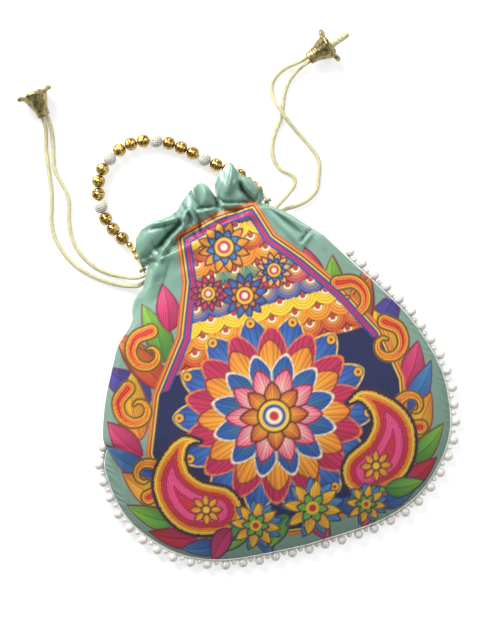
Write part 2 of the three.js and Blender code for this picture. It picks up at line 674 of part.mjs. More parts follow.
function beadSequence() {
  const small = { name: 'small_gold_bead', radius: SMALL_BEAD_RADIUS, length: SMALL_BEAD_LENGTH, segments: 6 };
  const gold = { name: 'gold_bead', radius: BEAD_RADIUS, length: BEAD_LENGTH, segments: 7 };
  const white = { name: 'white_bead', radius: WHITE_BEAD_RADIUS, length: WHITE_BEAD_LENGTH, segments: 7 };
  const threes = kind => [kind, kind, kind];
  const group = [...threes(gold), white];
  return [...threes(small), ...group, ...group, ...group, ...group, ...threes(gold), ...threes(small)];
}

function beads() {
  const curve = handleCurve();
  const total = curve.getLength();
  const sequence = beadSequence();
  const strung = sequence.reduce((sum, kind) => sum + kind.length + BEAD_GAP, -BEAD_GAP);
  const counts = {};
  let distance = (total - strung) / 2;
  return sequence.map(kind => {
    const share = (distance + kind.length / 2) / total;
    distance += kind.length + BEAD_GAP;
    counts[kind.name] = (counts[kind.name] ?? 0) + 1;
    const half = kind.length / 2 / total;
    const [back, front] = [curve.getPointAt(share - half), curve.getPointAt(share + half)];
    const middle = back.clone().add(front).multiplyScalar(0.5);
    const direction = front.sub(back).normalize();
    const geometry = placedAlong(bead(kind.radius, kind.length, kind.segments), middle, direction);
    const color = kind.name === 'white_bead' ? PEARL : GOLD;
    return mesh(`${kind.name}_${counts[kind.name]}`, geometry, color, 0.35, color === GOLD ? 0.9 : 0);
  });
}

function handleWire() {
  const eyes = [-1, 1].map(side => {
    const eye = new THREE.TorusGeometry(EYE_RADIUS, WIRE_RADIUS, WIRE_SIDES, 8).rotateY(Math.PI / 2);
    eye.translate(side * PIVOT_X, PIVOT_Y, PIVOT_Z).rotateZ(NECK_LEAN);
    return eye.translate(NECK_CENTRE.x, NECK_CENTRE.y, 0);
  });
  const wire = tube(handleCurve(), WIRE_RADIUS, WIRE_SIDES, WIRE_STEPS);
  return fromSolid(wasm.Manifold.union([wire, ...eyes].map(toSolid)));
}

// A stitched shank at each side of the neck, with a head that keeps the wire's eye on it
function handleTack(side) {
  const profile = [
    [0, 0], [TACK_FOOT_RADIUS, 0], [TACK_RADIUS, TACK_FOOT_LENGTH], [TACK_RADIUS, TACK_SHANK],
    [TACK_HEAD_RADIUS, TACK_SHANK], [TACK_HEAD_RADIUS, TACK_REACH], [0, TACK_REACH],
  ];
  const direction = new THREE.Vector3(side, 0, 0).applyAxisAngle(UP, NECK_LEAN);
  return placedAlong(revolved(profile, 8), neckPoint(side * TACK_START, PIVOT_Y, PIVOT_Z), direction);
}

function mesh(name, geometry, color, roughness, metalness) {
  const result = new THREE.Mesh(geometry, material(color, roughness, metalness));
  result.name = name;
  return result;
}

const pouch = new THREE.Group();
pouch.add(
  mesh('front_panel', panel(frontPoint, 1, FRONT_ROWS), MINT, 0.8, 0),
  mesh('back_panel', panel(backPoint, -1, BACK_ROWS), MINT, 0.8, 0),
  mesh('satin_collar', satinCollar(), SATIN, 0.35, 0),
  mesh('casing_band', casingBand(), SATIN, 0.5, 0),
  mesh('pearl_trim', pearlTrim(), PEARL, 0.3, 0),
  mesh('left_cord_run', cordRun(-1, CORD_PAIR_SPACING / 2), CREAM, 0.5, 0),
  mesh('right_cord_run', cordRun(1, -CORD_PAIR_SPACING / 2), CREAM, 0.5, 0),
  mesh('left_back_strand', strand(LEFT_BACK_STRAND, LEFT_CAP, -1), CREAM, 0.5, 0),
  mesh('left_front_strand', strand(LEFT_FRONT_STRAND, LEFT_CAP, 1), CREAM, 0.5, 0),
  mesh('right_back_strand', strand(RIGHT_BACK_STRAND, RIGHT_CAP, -1), CREAM, 0.5, 0),
  mesh('right_front_strand', strand(RIGHT_FRONT_STRAND, RIGHT_CAP, 1), CREAM, 0.5, 0),
  mesh('left_end_cap', endCap(LEFT_CAP), BRASS, 0.45, 0.9),
  mesh('right_end_cap', endCap(RIGHT_CAP), BRASS, 0.45, 0.9),
  mesh('left_knot', knot(LEFT_CAP, 0), CREAM, 0.6, 0),
  mesh('right_knot', knot(RIGHT_CAP, STUB_LENGTH), CREAM, 0.6, 0),
  mesh('handle_wire', handleWire(), GOLD, 0.4, 0.9),
  ...beads(),
  mesh('left_handle_tack', handleTack(-1), CREAM, 0.7, 0),
  mesh('right_handle_tack', handleTack(1), CREAM, 0.7, 0),
);

export default pouch;
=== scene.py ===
"""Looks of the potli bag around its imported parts. Lengths are in millimetres until a mesh is made."""

import math

import bpy
import numpy as np
from mathutils import Matrix, Vector


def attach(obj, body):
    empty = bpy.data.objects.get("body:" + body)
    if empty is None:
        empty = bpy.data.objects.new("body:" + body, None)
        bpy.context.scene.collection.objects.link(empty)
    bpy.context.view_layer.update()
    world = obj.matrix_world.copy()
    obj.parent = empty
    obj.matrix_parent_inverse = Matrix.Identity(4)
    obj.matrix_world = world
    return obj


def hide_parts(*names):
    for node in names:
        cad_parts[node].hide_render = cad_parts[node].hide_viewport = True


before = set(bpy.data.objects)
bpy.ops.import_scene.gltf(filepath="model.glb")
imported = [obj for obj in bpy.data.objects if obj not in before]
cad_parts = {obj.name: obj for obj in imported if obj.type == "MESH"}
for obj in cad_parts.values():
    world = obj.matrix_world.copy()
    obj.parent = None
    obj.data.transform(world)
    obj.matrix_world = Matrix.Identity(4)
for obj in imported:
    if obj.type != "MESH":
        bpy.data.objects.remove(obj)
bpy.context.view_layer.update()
MM = 0.001

# Camera
IMAGE_WIDTH, IMAGE_HEIGHT = 500, 625
MM_PER_PIXEL = 0.65
CAMERA_DISTANCE = 1000.0
PHOTO_ANGLE = math.radians(14.5)
PHOTO_ORIGIN = (275.0, 425.0)


def photo_to_bag(u, v):
    du = (np.asarray(u, float) - PHOTO_ORIGIN[0]) * MM_PER_PIXEL
    dv = (np.asarray(v, float) - PHOTO_ORIGIN[1]) * MM_PER_PIXEL
    c, s = math.cos(PHOTO_ANGLE), math.sin(PHOTO_ANGLE)
    return du * c - dv * s, -du * s - dv * c


def make_camera():
    data = bpy.data.cameras.new("camera")
    data.sensor_width = 36
    data.lens = 36 * CAMERA_DISTANCE / (IMAGE_HEIGHT * MM_PER_PIXEL)
    camera = bpy.data.objects.new("camera", data)
    bpy.context.scene.collection.objects.link(camera)
    x, y = photo_to_bag(IMAGE_WIDTH / 2, IMAGE_HEIGHT / 2)
    c, s = math.cos(PHOTO_ANGLE), math.sin(PHOTO_ANGLE)
    turn = Matrix(((c, s, 0), (-s, c, 0), (0, 0, 1))).to_4x4()
    camera.matrix_world = Matrix.Translation((x * MM, y * MM, (CAMERA_DISTANCE + 5) * MM)) @ turn
    bpy.context.scene.camera = camera


make_camera()
scene = bpy.context.scene
scene.view_settings.view_transform = "Standard"


# Helpers
def srgb(code):
    values = [int(code[i:i + 2], 16) / 255 for i in (0, 2, 4)]
    return np.array([v / 12.92 if v <= 0.04045 else ((v + 0.055) / 1.055) ** 2.4 for v in values])


def smooth(x, low, high):
    t = np.clip((np.asarray(x, float) - low) / (high - low), 0, 1)
    return t * t * (3 - 2 * t)


def lerp(a, b, t):
    return a + (b - a) * t


def hump(distance, width):
    """1 at distance 0, falling off softly over the width."""
    return np.exp(-(distance / width) ** 2)


def signed_power(value, power):
    return np.sign(value) * np.abs(value) ** power


def surface_normal(surface):
    normal = np.cross(np.gradient(surface, axis=1), np.gradient(surface, axis=0))
    return normal / np.maximum(np.linalg.norm(normal, axis=-1, keepdims=True), 1e-9)


def side_name(side):
    return "left" if side < 0 else "right"


def link(name, mesh, material):
    obj = bpy.data.objects.new(name, mesh)
    scene.collection.objects.link(obj)
    if material:
        mesh.materials.append(material)
    return obj


def dress(piece, slot, body, *nodes):
    """Hangs a piece on its body and hides the CAD nodes that it stands for. The slot is not used."""
    if nodes:
        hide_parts(*nodes)
    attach(piece, body)
    return piece


def mesh_from(name, verts, quads, material, colors=None, floats=None, uv=None):
    """A smooth mesh from points in millimetres and quads, with colours and numbers on its points."""
    mesh = bpy.data.meshes.new(name)
    verts = np.asarray(verts, float).reshape(-1, 3)
    quads = np.asarray(quads, np.int32).reshape(-1, 4)
    mesh.vertices.add(len(verts))
    mesh.vertices.foreach_set("co", (verts * MM).astype(np.float32).ravel())
    mesh.loops.add(quads.size)
    mesh.loops.foreach_set("vertex_index", quads.ravel())
    mesh.polygons.add(len(quads))
    mesh.polygons.foreach_set("loop_start", np.arange(0, quads.size, 4, dtype=np.int32))
    mesh.polygons.foreach_set("loop_total", np.full(len(quads), 4, np.int32))
    mesh.update(calc_edges=True)
    mesh.validate()
    mesh.polygons.foreach_set("use_smooth", np.ones(len(mesh.polygons), bool))
    if colors is not None:
        layer = mesh.color_attributes.new("ink", "FLOAT_COLOR", "POINT")
        layer.data.foreach_set("color", np.c_[colors, np.ones(len(colors))].astype(np.float32).ravel())
    for key, values in (floats or {}).items():
        layer = mesh.attributes.new(key, "FLOAT", "POINT")
        layer.data.foreach_set("value", np.asarray(values, np.float32).ravel())
    if uv is not None:
        layer = mesh.uv_layers.new(name="UVMap")
        layer.data.foreach_set("uv", np.asarray(uv, np.float32)[quads.ravel()].ravel())
    return link(name, mesh, material)


def grid_quads(rows, columns, wraps):
    r, c = np.meshgrid(np.arange(rows - 1), np.arange(columns if wraps else columns - 1), indexing="ij")
    n = (c + 1) % columns
    corners = [r * columns + c, r * columns + n, (r + 1) * columns + n, (r + 1) * columns + c]
    return np.stack(corners, -1).reshape(-1, 4)


def catmull(points, per_segment):
    """Centripetal curve through the points, as the cords and the wire of the CAD parts use."""
    p = np.asarray(points, float)
    p = np.vstack([2 * p[0] - p[1], p, 2 * p[-1] - p[-2]])
    out = []
    t = np.linspace(0, 1, per_segment, endpoint=False)[:, None]
    for i in range(1, len(p) - 2):
        p0, p1, p2, p3 = p[i - 1:i + 3]
        d0, d1, d2 = [max(np.linalg.norm(b - a) ** 0.5, 1e-4) for a, b in ((p0, p1), (p1, p2), (p2, p3))]
        m1 = ((p1 - p0) / d0 - (p2 - p0) / (d0 + d1) + (p2 - p1) / d1) * d1
        m2 = ((p2 - p1) / d1 - (p3 - p1) / (d1 + d2) + (p3 - p2) / d2) * d1
        out.append(p1 * (2 * t ** 3 - 3 * t ** 2 + 1) + m1 * (t ** 3 - 2 * t ** 2 + t)
                   + p2 * (-2 * t ** 3 + 3 * t ** 2) + m2 * (t ** 3 - t ** 2))
    return np.vstack([*out, p[-2][None]])


def resample(points, step):
    length = np.r_[0, np.cumsum(np.linalg.norm(np.diff(points, axis=0), axis=1))]
    places = np.linspace(0, length[-1], max(2, int(round(length[-1] / step)) + 1))
    return np.stack([np.interp(places, length, points[:, k]) for k in range(3)], 1), places


def frames(points):
    """Two directions across a line at each of its points, turning as little as they can."""
    tangent = np.gradient(points, axis=0)
    tangent /= np.linalg.norm(tangent, axis=1)[:, None]
    first = np.cross(tangent[0], [0, 0, 1])
    first = first if np.linalg.norm(first) > 1e-3 else np.array([1.0, 0, 0])
    across = [first / np.linalg.norm(first)]
    for t in tangent[1:]:
        a = across[-1] - t * np.dot(across[-1], t)
        across.append(a / np.linalg.norm(a))
    across = np.array(across)
    return across, np.cross(tangent, across)


def full_turn(count):
    return np.linspace(0, 2 * np.pi, count, endpoint=False)


def tube(name, points, radius, sides, step, material, ridges=0.0, capped=True):
    line, places = resample(points, step)
    a, b = frames(line)
    angle = full_turn(sides)
    radii = np.full(len(line), radius)
    if capped:
        end = np.minimum(places, places[-1] - places)
        radii = radius * np.sqrt(np.clip(1 - (1 - np.clip(end / radius, 0, 1)) ** 2, 0.02, 1))
    twist = radii[:, None] * (1 + ridges * np.cos(3 * angle[None] + places[:, None] * 2 * np.pi / 9))
    ring = line[:, None] + twist[..., None] * (
        a[:, None] * np.cos(angle)[None, :, None] + b[:, None] * np.sin(angle)[None, :, None])
    turns = np.broadcast_to(angle / (2 * np.pi), ring.shape[:2])
    along = np.broadcast_to((places * 0.1)[:, None], ring.shape[:2])
    quads = grid_quads(len(line), sides, True)
    verts = np.vstack([ring.reshape(-1, 3), line[:1], line[-1:]])
    uv = np.vstack([np.stack([turns.ravel(), along.ravel()], 1), [[0, 0]], [[0, along.max()]]])
    obj = mesh_from(name, verts, quads, material, uv=uv)
    return obj, line


def revolved(radius, height, angle, base, axis):
    """Points round an axis, a ring for each row of radius and height."""
    axis = np.asarray(axis, float) / np.linalg.norm(axis)
    side = np.cross(axis, [0, 0, 1] if abs(axis[2]) < 0.9 else [1, 0, 0])
    side /= np.linalg.norm(side)
    spokes = np.cos(angle)[:, None] * side - np.sin(angle)[:, None] * np.cross(axis, side)
    return np.asarray(base, float) + height[..., None] * axis + radius[..., None] * spokes


def lathe(profile, segments, base, axis, wobble=None):
    """Rings round an axis from rows of radius and height; wobble gives a factor on the radius."""
    profile = np.asarray(profile, float)
    angle = full_turn(segments)
    radius = np.broadcast_to(profile[:, :1], (len(profile), segments))
    if wobble is not None:
        radius = radius * wobble(angle[None], profile[:, 1:2])
    points = revolved(radius, profile[:, 1:2], angle, base, axis)
    return points.reshape(-1, 3), grid_quads(len(profile), segments, True)


# Materials
def node_material(name, **sockets):
    material = bpy.data.materials.new(name)
    material.use_nodes = True
    tree = material.node_tree
    shader = tree.nodes["Principled BSDF"]
    for key, value in sockets.items():
        shader.inputs[key.replace("_", " ")].default_value = value
    return material, tree, shader


def add(tree, kind, **values):
    node = tree.nodes.new(kind)
    for key, value in values.items():
        if key in node.inputs:
            node.inputs[key].default_value = value
        else:
            setattr(node, key, value)
    return node


def ramp(tree, source, stops):
    node = tree.nodes.new("ShaderNodeValToRGB")
    while len(node.color_ramp.elements) < len(stops):
        node.color_ramp.elements.new(0.5)
    for element, (place, color) in zip(node.color_ramp.elements, stops):
        element.position = place
        element.color = (*color, 1)
    tree.links.new(source, node.inputs[0])
    return node.outputs[0]


def math_node(tree, operation, a, b=0.0, c=0.0):
    node = tree.nodes.new("ShaderNodeMath")
    node.operation = operation
    for socket, value in zip(node.inputs, (a, b, c)):
        if isinstance(value, (int, float)):
            socket.default_value = value
        else:
            tree.links.new(value, socket)
    return node.outputs[0]


def mix_color(tree, factor, a, b, blend="MIX"):
    node = tree.nodes.new("ShaderNodeMix")
    node.data_type = "RGBA"
    node.blend_type = blend
    for socket, value in ((node.inputs[0], factor), (node.inputs[6], a), (node.inputs[7], b)):
        if isinstance(value, (int, float)):
            socket.default_value = value
        elif isinstance(value, (tuple, list, np.ndarray)):
            socket.default_value = (*[float(v) for v in value[:3]], 1)
        else:
            tree.links.new(value, socket)
    return node.outputs[2]


def noise(tree, coords, scale, detail=3.0, roughness=0.5):
    node = add(tree, "ShaderNodeTexNoise", Scale=scale, Detail=detail, Roughness=roughness)
    tree.links.new(coords, node.inputs["Vector"])
    return node.outputs["Fac"]


def bump(tree, shader, height, strength, distance):
    node = add(tree, "ShaderNodeBump", Strength=strength, Distance=distance)
    tree.links.new(height, node.inputs["Height"])
    tree.links.new(node.outputs[0], shader.inputs["Normal"])


def attribute(tree, name, output="Fac"):
    return add(tree, "ShaderNodeAttribute", attribute_name=name).outputs[output]


def bands(tree, coords, scale, distortion, direction="X"):
    node = add(tree, "ShaderNodeTexWave", Scale=scale, Distortion=distortion, bands_direction=direction)
    tree.links.new(coords, node.inputs["Vector"])
    return node.outputs["Fac"]


def speckle(tree, coords, scale, share):
    """Noise about 0, share times as strong."""
    level = math_node(tree, "SUBTRACT", noise(tree, coords, scale, 2), 0.5)
    return math_node(tree, "MULTIPLY", level, share)


def object_coords(tree):
    return tree.nodes.new("ShaderNodeTexCoord").outputs["Object"]


def cloth_material():
    """Printed mint cloth: matte where satin is 0, shiny where it is 1, fine lines where stroke runs."""
    material, tree, shader = node_material("printed_cloth", Sheen_Weight=0.3, Sheen_Roughness=0.3,
                                           Specular_IOR_Level=0.6, Coat_Roughness=0.24)
    coords = object_coords(tree)
    ink = attribute(tree, "ink", "Color")
    satin = attribute(tree, "satin")
    stroke = attribute(tree, "stroke")
    printed = attribute(tree, "printed")
    lines = math_node(tree, "SINE", math_node(tree, "MULTIPLY", stroke, 2 * math.pi))
    lines = math_node(tree, "MULTIPLY", lines, math_node(tree, "MULTIPLY", printed, 0.2))
    grain = speckle(tree, coords, 1800, 0.22)
    cloud = speckle(tree, coords, 28, 0.10)
    light = math_node(tree, "ADD", math_node(tree, "ADD", lines, grain), math_node(tree, "ADD", cloud, 1.0))
    gray = add(tree, "ShaderNodeCombineColor")
    for socket in gray.inputs[:3]:
        tree.links.new(light, socket)
    base = mix_color(tree, 1.0, ink, gray.outputs[0], "MULTIPLY")
    tree.links.new(base, shader.inputs["Base Color"])
    tree.links.new(math_node(tree, "MULTIPLY", satin, 0.45), shader.inputs["Coat Weight"])
    rough = math_node(tree, "MULTIPLY_ADD", satin, -0.4, 0.76)
    rough = math_node(tree, "ADD", rough, math_node(tree, "MULTIPLY", grain, 0.3))
    tree.links.new(rough, shader.inputs["Roughness"])
    warp, weft = (bands(tree, coords, 520.0, 1.2, direction) for direction in "XY")
    threads = math_node(tree, "ADD", warp, weft)
    threads = math_node(tree, "MULTIPLY", threads, math_node(tree, "MULTIPLY_ADD", satin, -0.75, 1.0))
    creases = math_node(tree, "MULTIPLY", noise(tree, coords, 110, 4), 3.0)
    bump(tree, shader, math_node(tree, "ADD", threads, creases), 0.35, 0.00018)
    return material


def plain_cloth(name, color, rough, scale=600.0):
    material, tree, shader = node_material(name, Roughness=rough, Sheen_Weight=0.2)
    coords = object_coords(tree)
    tone = noise(tree, coords, 240, 4)
    shades = ramp(tree, tone, [(0.3, color * 0.86), (0.7, color * 1.08)])
    tree.links.new(shades, shader.inputs["Base Color"])
    bump(tree, shader, math_node(tree, "ADD", bands(tree, coords, scale, 2.0), tone), 0.4, 0.0002)
    return material


def cord_material():
    material, tree, shader = node_material("cream_cord", Roughness=0.42, Sheen_Weight=0.35)
    uv = tree.nodes.new("ShaderNodeTexCoord").outputs["UV"]
    mapping = add(tree, "ShaderNodeMapping")
    mapping.inputs["Scale"].default_value = (5, 9, 1)
    mapping.inputs["Rotation"].default_value = (0, 0, 0.6)
    tree.links.new(uv, mapping.inputs["Vector"])
    plies = bands(tree, mapping.outputs[0], 2.2, 0.6)
    coords = object_coords(tree)
    tone = math_node(tree, "ADD", math_node(tree, "MULTIPLY", plies, 0.45),
                     math_node(tree, "MULTIPLY", noise(tree, coords, 500, 3), 0.55))
    color = ramp(tree, tone, [(0.2, srgb("b9ad79")), (0.5, srgb("ddd6a6")), (0.85, srgb("f0ebc6"))])
    tree.links.new(color, shader.inputs["Base Color"])
    bump(tree, shader, tone, 0.6, 0.00025)
    return material


def pearl_material():
    material, tree, shader = node_material("pearl", Coat_Weight=0.6, Coat_Roughness=0.12)
    coords = object_coords(tree)
    tone = noise(tree, coords, 320, 3)
    color = ramp(tree, tone, [(0.3, srgb("d6d0c6")), (0.55, srgb("e9e5dc")), (0.8, srgb("f4f1ea"))])
    tree.links.new(color, shader.inputs["Base Color"])
    tree.links.new(math_node(tree, "MULTIPLY_ADD", tone, 0.18, 0.2), shader.inputs["Roughness"])
    bump(tree, shader, noise(tree, coords, 900, 2), 0.15, 0.0001)
    return material


def sugar_material():
    """White bead covered in tiny grains, with painted shade between the grains, where relief is 0."""
    material, tree, shader = node_material("white_bead", Coat_Weight=0.25, Subsurface_Weight=0.1)
    coords = object_coords(tree)
    tone = noise(tree, coords, 500, 3)
    relief = attribute(tree, "relief")
    # Painted shade: the colour darkens between the grains, where relief is low.
    depth = math_node(tree, "MULTIPLY_ADD", tone, 0.3, relief)
    color = ramp(tree, depth, [(0.2, srgb("968f7e")), (0.6, srgb("cfcabd")), (0.95, srgb("ebe7dd"))])
    tree.links.new(color, shader.inputs["Base Color"])
    tree.links.new(math_node(tree, "MULTIPLY_ADD", tone, 0.3, 0.15), shader.inputs["Roughness"])
    bump(tree, shader, tone, 0.3, 0.0002)
    return material


def metal_material(name, dark, mid, light, rough, scale, strength, worked=False):
    """Metal with cells and pits; where it is worked, its hollows, with relief at 0, are darker."""
    material, tree, shader = node_material(name, Metallic=1.0)
    coords = object_coords(tree)
    pits = add(tree, "ShaderNodeTexVoronoi", Scale=scale)
    tree.links.new(coords, pits.inputs["Vector"])
    tone = math_node(tree, "ADD", math_node(tree, "MULTIPLY", pits.outputs["Distance"], 0.6),
                     math_node(tree, "MULTIPLY", noise(tree, coords, scale * 0.6, 4), 0.5))
    place = tone
    if worked:
        relief = attribute(tree, "relief")
        height = math_node(tree, "MULTIPLY", relief, 0.5)
        place = math_node(tree, "ADD", math_node(tree, "MULTIPLY", tone, 0.55), height)
    color = ramp(tree, place, [(0.15, srgb(dark)), (0.45, srgb(mid)), (0.8, srgb(light))])
    tree.links.new(color, shader.inputs["Base Color"])
    tree.links.new(math_node(tree, "MULTIPLY_ADD", tone, 0.25, rough), shader.inputs["Roughness"])
    bump(tree, shader, tone, strength, 0.0003)
    return material


MINT = srgb("7f9f8e")
SATIN = srgb("78a08d")
CLOTH = cloth_material()
LINING = plain_cloth("lining", srgb("7fa590"), 0.6)
BAND = plain_cloth("channel_strip", srgb("86ae98"), 0.5)
THREAD = plain_cloth("white_thread", srgb("e9e7df"), 0.6, 2400.0)
MINT_THREAD = plain_cloth("mint_thread", srgb("7fa590"), 0.5, 2400.0)
CORD = cord_material()
CORD_END = plain_cloth("cord_end", srgb("e2dab0"), 0.55, 900.0)
PEARL = pearl_material()
SUGAR = sugar_material()
GOLD = metal_material("gold", "2b1d08", "9c7429", "efd388", 0.12, 430.0, 0.55, True)
WIRE = metal_material("gold_wire", "5c431a", "a88342", "dcc184", 0.22, 1600.0, 0.3)
BRASS = metal_material("antique_brass", "443c24", "85784f", "c0b283", 0.3, 420.0, 0.7)

# Shape of the bag, as in the CAD parts
HALF_OUTLINE = [[0, -80.5], [48, -77.5], [77, -68], [97, -51], [109.5, -31], [114, -5],
                [111.5, 18], [101.5, 46], [86, 72], [73.5, 91]]
SHOULDER = {-1: (-67.5, 101.0), 1: (61.0, 111.0)}
CORNER_SHARE, BELLY_HEIGHT, SEAM_HEIGHT, SEAM_RISE_START = 0.4, 31.0, 3.7, 0.5
ROLL_INSET = 8.5
ROLL_SHIFT = np.array([[0, 0, 0], [0.02, 2.2, 1.4], [0.065, 12.2, 0.2], [0.129, 20, 0.6], [0.211, 22, 2.6],
                       [0.308, 17, 2.6], [0.42, 12.5, 1.6], [0.545, 8.5, 0.6], [0.7, 5, 0], [1, 0, 0]])
ROLL_RANGE = (0.58, 0.7, 0.9, 0.99)
NECK = np.array([-11.5, 124.5])
NECK_LEAN = math.radians(14.4)
NECK_HEIGHT, SHOULDER_HALF, RING_SQUARENESS = 17.5, 15.4, 2.6
GATHER_COUNT, GATHER_DEPTH, WALL = 15, 1.4, 1.2
CHANNEL_HALF_WIDTH, CHANNEL_TAPER, CHANNEL_HALF, CHANNEL_LENGTH = 47.0, 0.89, 15.0, 4.5


def spline_table(side):
    p = np.array([[side * x, y] for x, y in HALF_OUTLINE] + [list(SHOULDER[side])], float)
    n = len(p)
    t = np.linspace(0, n - 1, 4001)
    i = np.minimum(t.astype(int), n - 2)
    w = (t - i)[:, None]
    p0, p1, p2, p3 = p[np.maximum(i - 1, 0)], p[i], p[i + 1], p[np.minimum(i + 2, n - 1)]
    v0, v1 = (p2 - p0) / 2, (p3 - p1) / 2
    line = ((2 * p1 - 2 * p2 + v0 + v1) * w ** 3 + (-3 * p1 + 3 * p2 - 2 * v0 - v1) * w ** 2 + v0 * w + p1)
    length = np.r_[0, np.cumsum(np.linalg.norm(np.diff(line, axis=0), axis=1))]
    tangent = np.gradient(line, axis=0)
    tangent /= np.linalg.norm(tangent, axis=1)[:, None]
    tangent[0] = (side, 0)
    return {"share": length / length[-1], "line": line, "tangent": tangent, "length": length[-1]}


TABLES = {-1: spline_table(-1), 1: spline_table(1)}


def rolled_under(side, share):
    start, full, last, end = ROLL_RANGE
    return 0 * share if side > 0 else smooth(share, start, full) * (1 - smooth(share, last, end))


def seam_height(share):
    return lerp(SEAM_HEIGHT, NECK_HEIGHT, smooth(share, SEAM_RISE_START, 1))


def seam_point(side, share, offset=0.0):
    table = TABLES[side]
    share = np.asarray(share, float)
    x, y = (np.interp(share, table["share"], table["line"][:, k]) for k in (0, 1))
    tx, ty = (np.interp(share, table["share"], table["tangent"][:, k]) for k in (0, 1))
    offset = offset - ROLL_INSET * rolled_under(side, share)
    return np.stack([x + side * ty * offset, y - side * tx * offset, seam_height(share)], -1)


def plan_point(across, along):
    half = np.abs(across)
    share = CORNER_SHARE + (1 - CORNER_SHARE) * along
    s = ((across + 1) / 2)[..., None]
    left, right = (seam_point(k, half * CORNER_SHARE) for k in (-1, 1))
    bottom = np.where((across < 0)[..., None], left, right)
    left_end, right_end = (np.array([*SHOULDER[k], 0.0]) for k in (-1, 1))
    shoulder = lerp(left_end, right_end, s)
    sides = lerp(seam_point(-1, share), seam_point(1, share), s)
    corners = lerp(seam_point(-1, CORNER_SHARE), seam_point(1, CORNER_SHARE), s)
    t = along[..., None]
    point = lerp(bottom, shoulder, t) + sides - lerp(corners, shoulder, t)
    point[..., 2] = seam_height(share)
    return point


def gather_wave(angle):
    return np.cos(GATHER_COUNT * angle) * (0.8 + 0.2 * np.cos(5 * angle))


def front_point(across, along):
    half = np.abs(across)
    side = np.where(across < 0, -1.0, 1.0)
    share = CORNER_SHARE + (1 - CORNER_SHARE) * along
    point = plan_point(across, along)
    blend = smooth(along, 0.55, 1)
    rise = (1 - half ** lerp(2.0, RING_SQUARENESS, blend)) ** lerp(0.75, 1 / RING_SQUARENESS, blend)
    bottom = (1 - (1 - np.minimum(1, along / 0.45)) ** 2) ** 0.7
    height = lerp(BELLY_HEIGHT, SHOULDER_HALF + WALL / 2, smooth(along, 0.3, 1))
    angle = np.arccos(np.clip(side * half ** (RING_SQUARENESS / 2), -1, 1))
    gathers = GATHER_DEPTH * gather_wave(angle) * smooth(along, 0.7, 1) * (1 - half ** 8)
    roll = np.where(across < 0, rolled_under(-1, share), 0)
    edge = 1 - half
    point[..., 0] += side * roll * np.interp(edge, ROLL_SHIFT[:, 0], ROLL_SHIFT[:, 1])
    point[..., 2] += (height * rise * bottom + 0.35 * gathers * bottom
                      + roll * np.interp(edge, ROLL_SHIFT[:, 0], ROLL_SHIFT[:, 2]))
    return point


def back_point(across, along):
    half = np.abs(across)
    point = plan_point(across, along)
    share = CORNER_SHARE + (1 - CORNER_SHARE) * along
    fullness = (1 - half ** RING_SQUARENESS) ** (1 / RING_SQUARENESS)
    bottom = (1 - (1 - np.minimum(1, along / 0.2)) ** 2) ** 0.5
    point[..., 2] = np.maximum(0, seam_height(share) - (SHOULDER_HALF + WALL / 2) * fullness * bottom)
    return point


def to_neck(x, y):
    c, s = math.cos(NECK_LEAN), math.sin(NECK_LEAN)
    dx, dy = x - NECK[0], y - NECK[1]
    return dx * c + dy * s, -dx * s + dy * c


def from_neck(x, y, z):
    c, s = math.cos(NECK_LEAN), math.sin(NECK_LEAN)
    x, y, z = np.broadcast_arrays(x, y, z)
    return np.stack([NECK[0] + x * c - y * s, NECK[1] + x * s + y * c, z], -1)


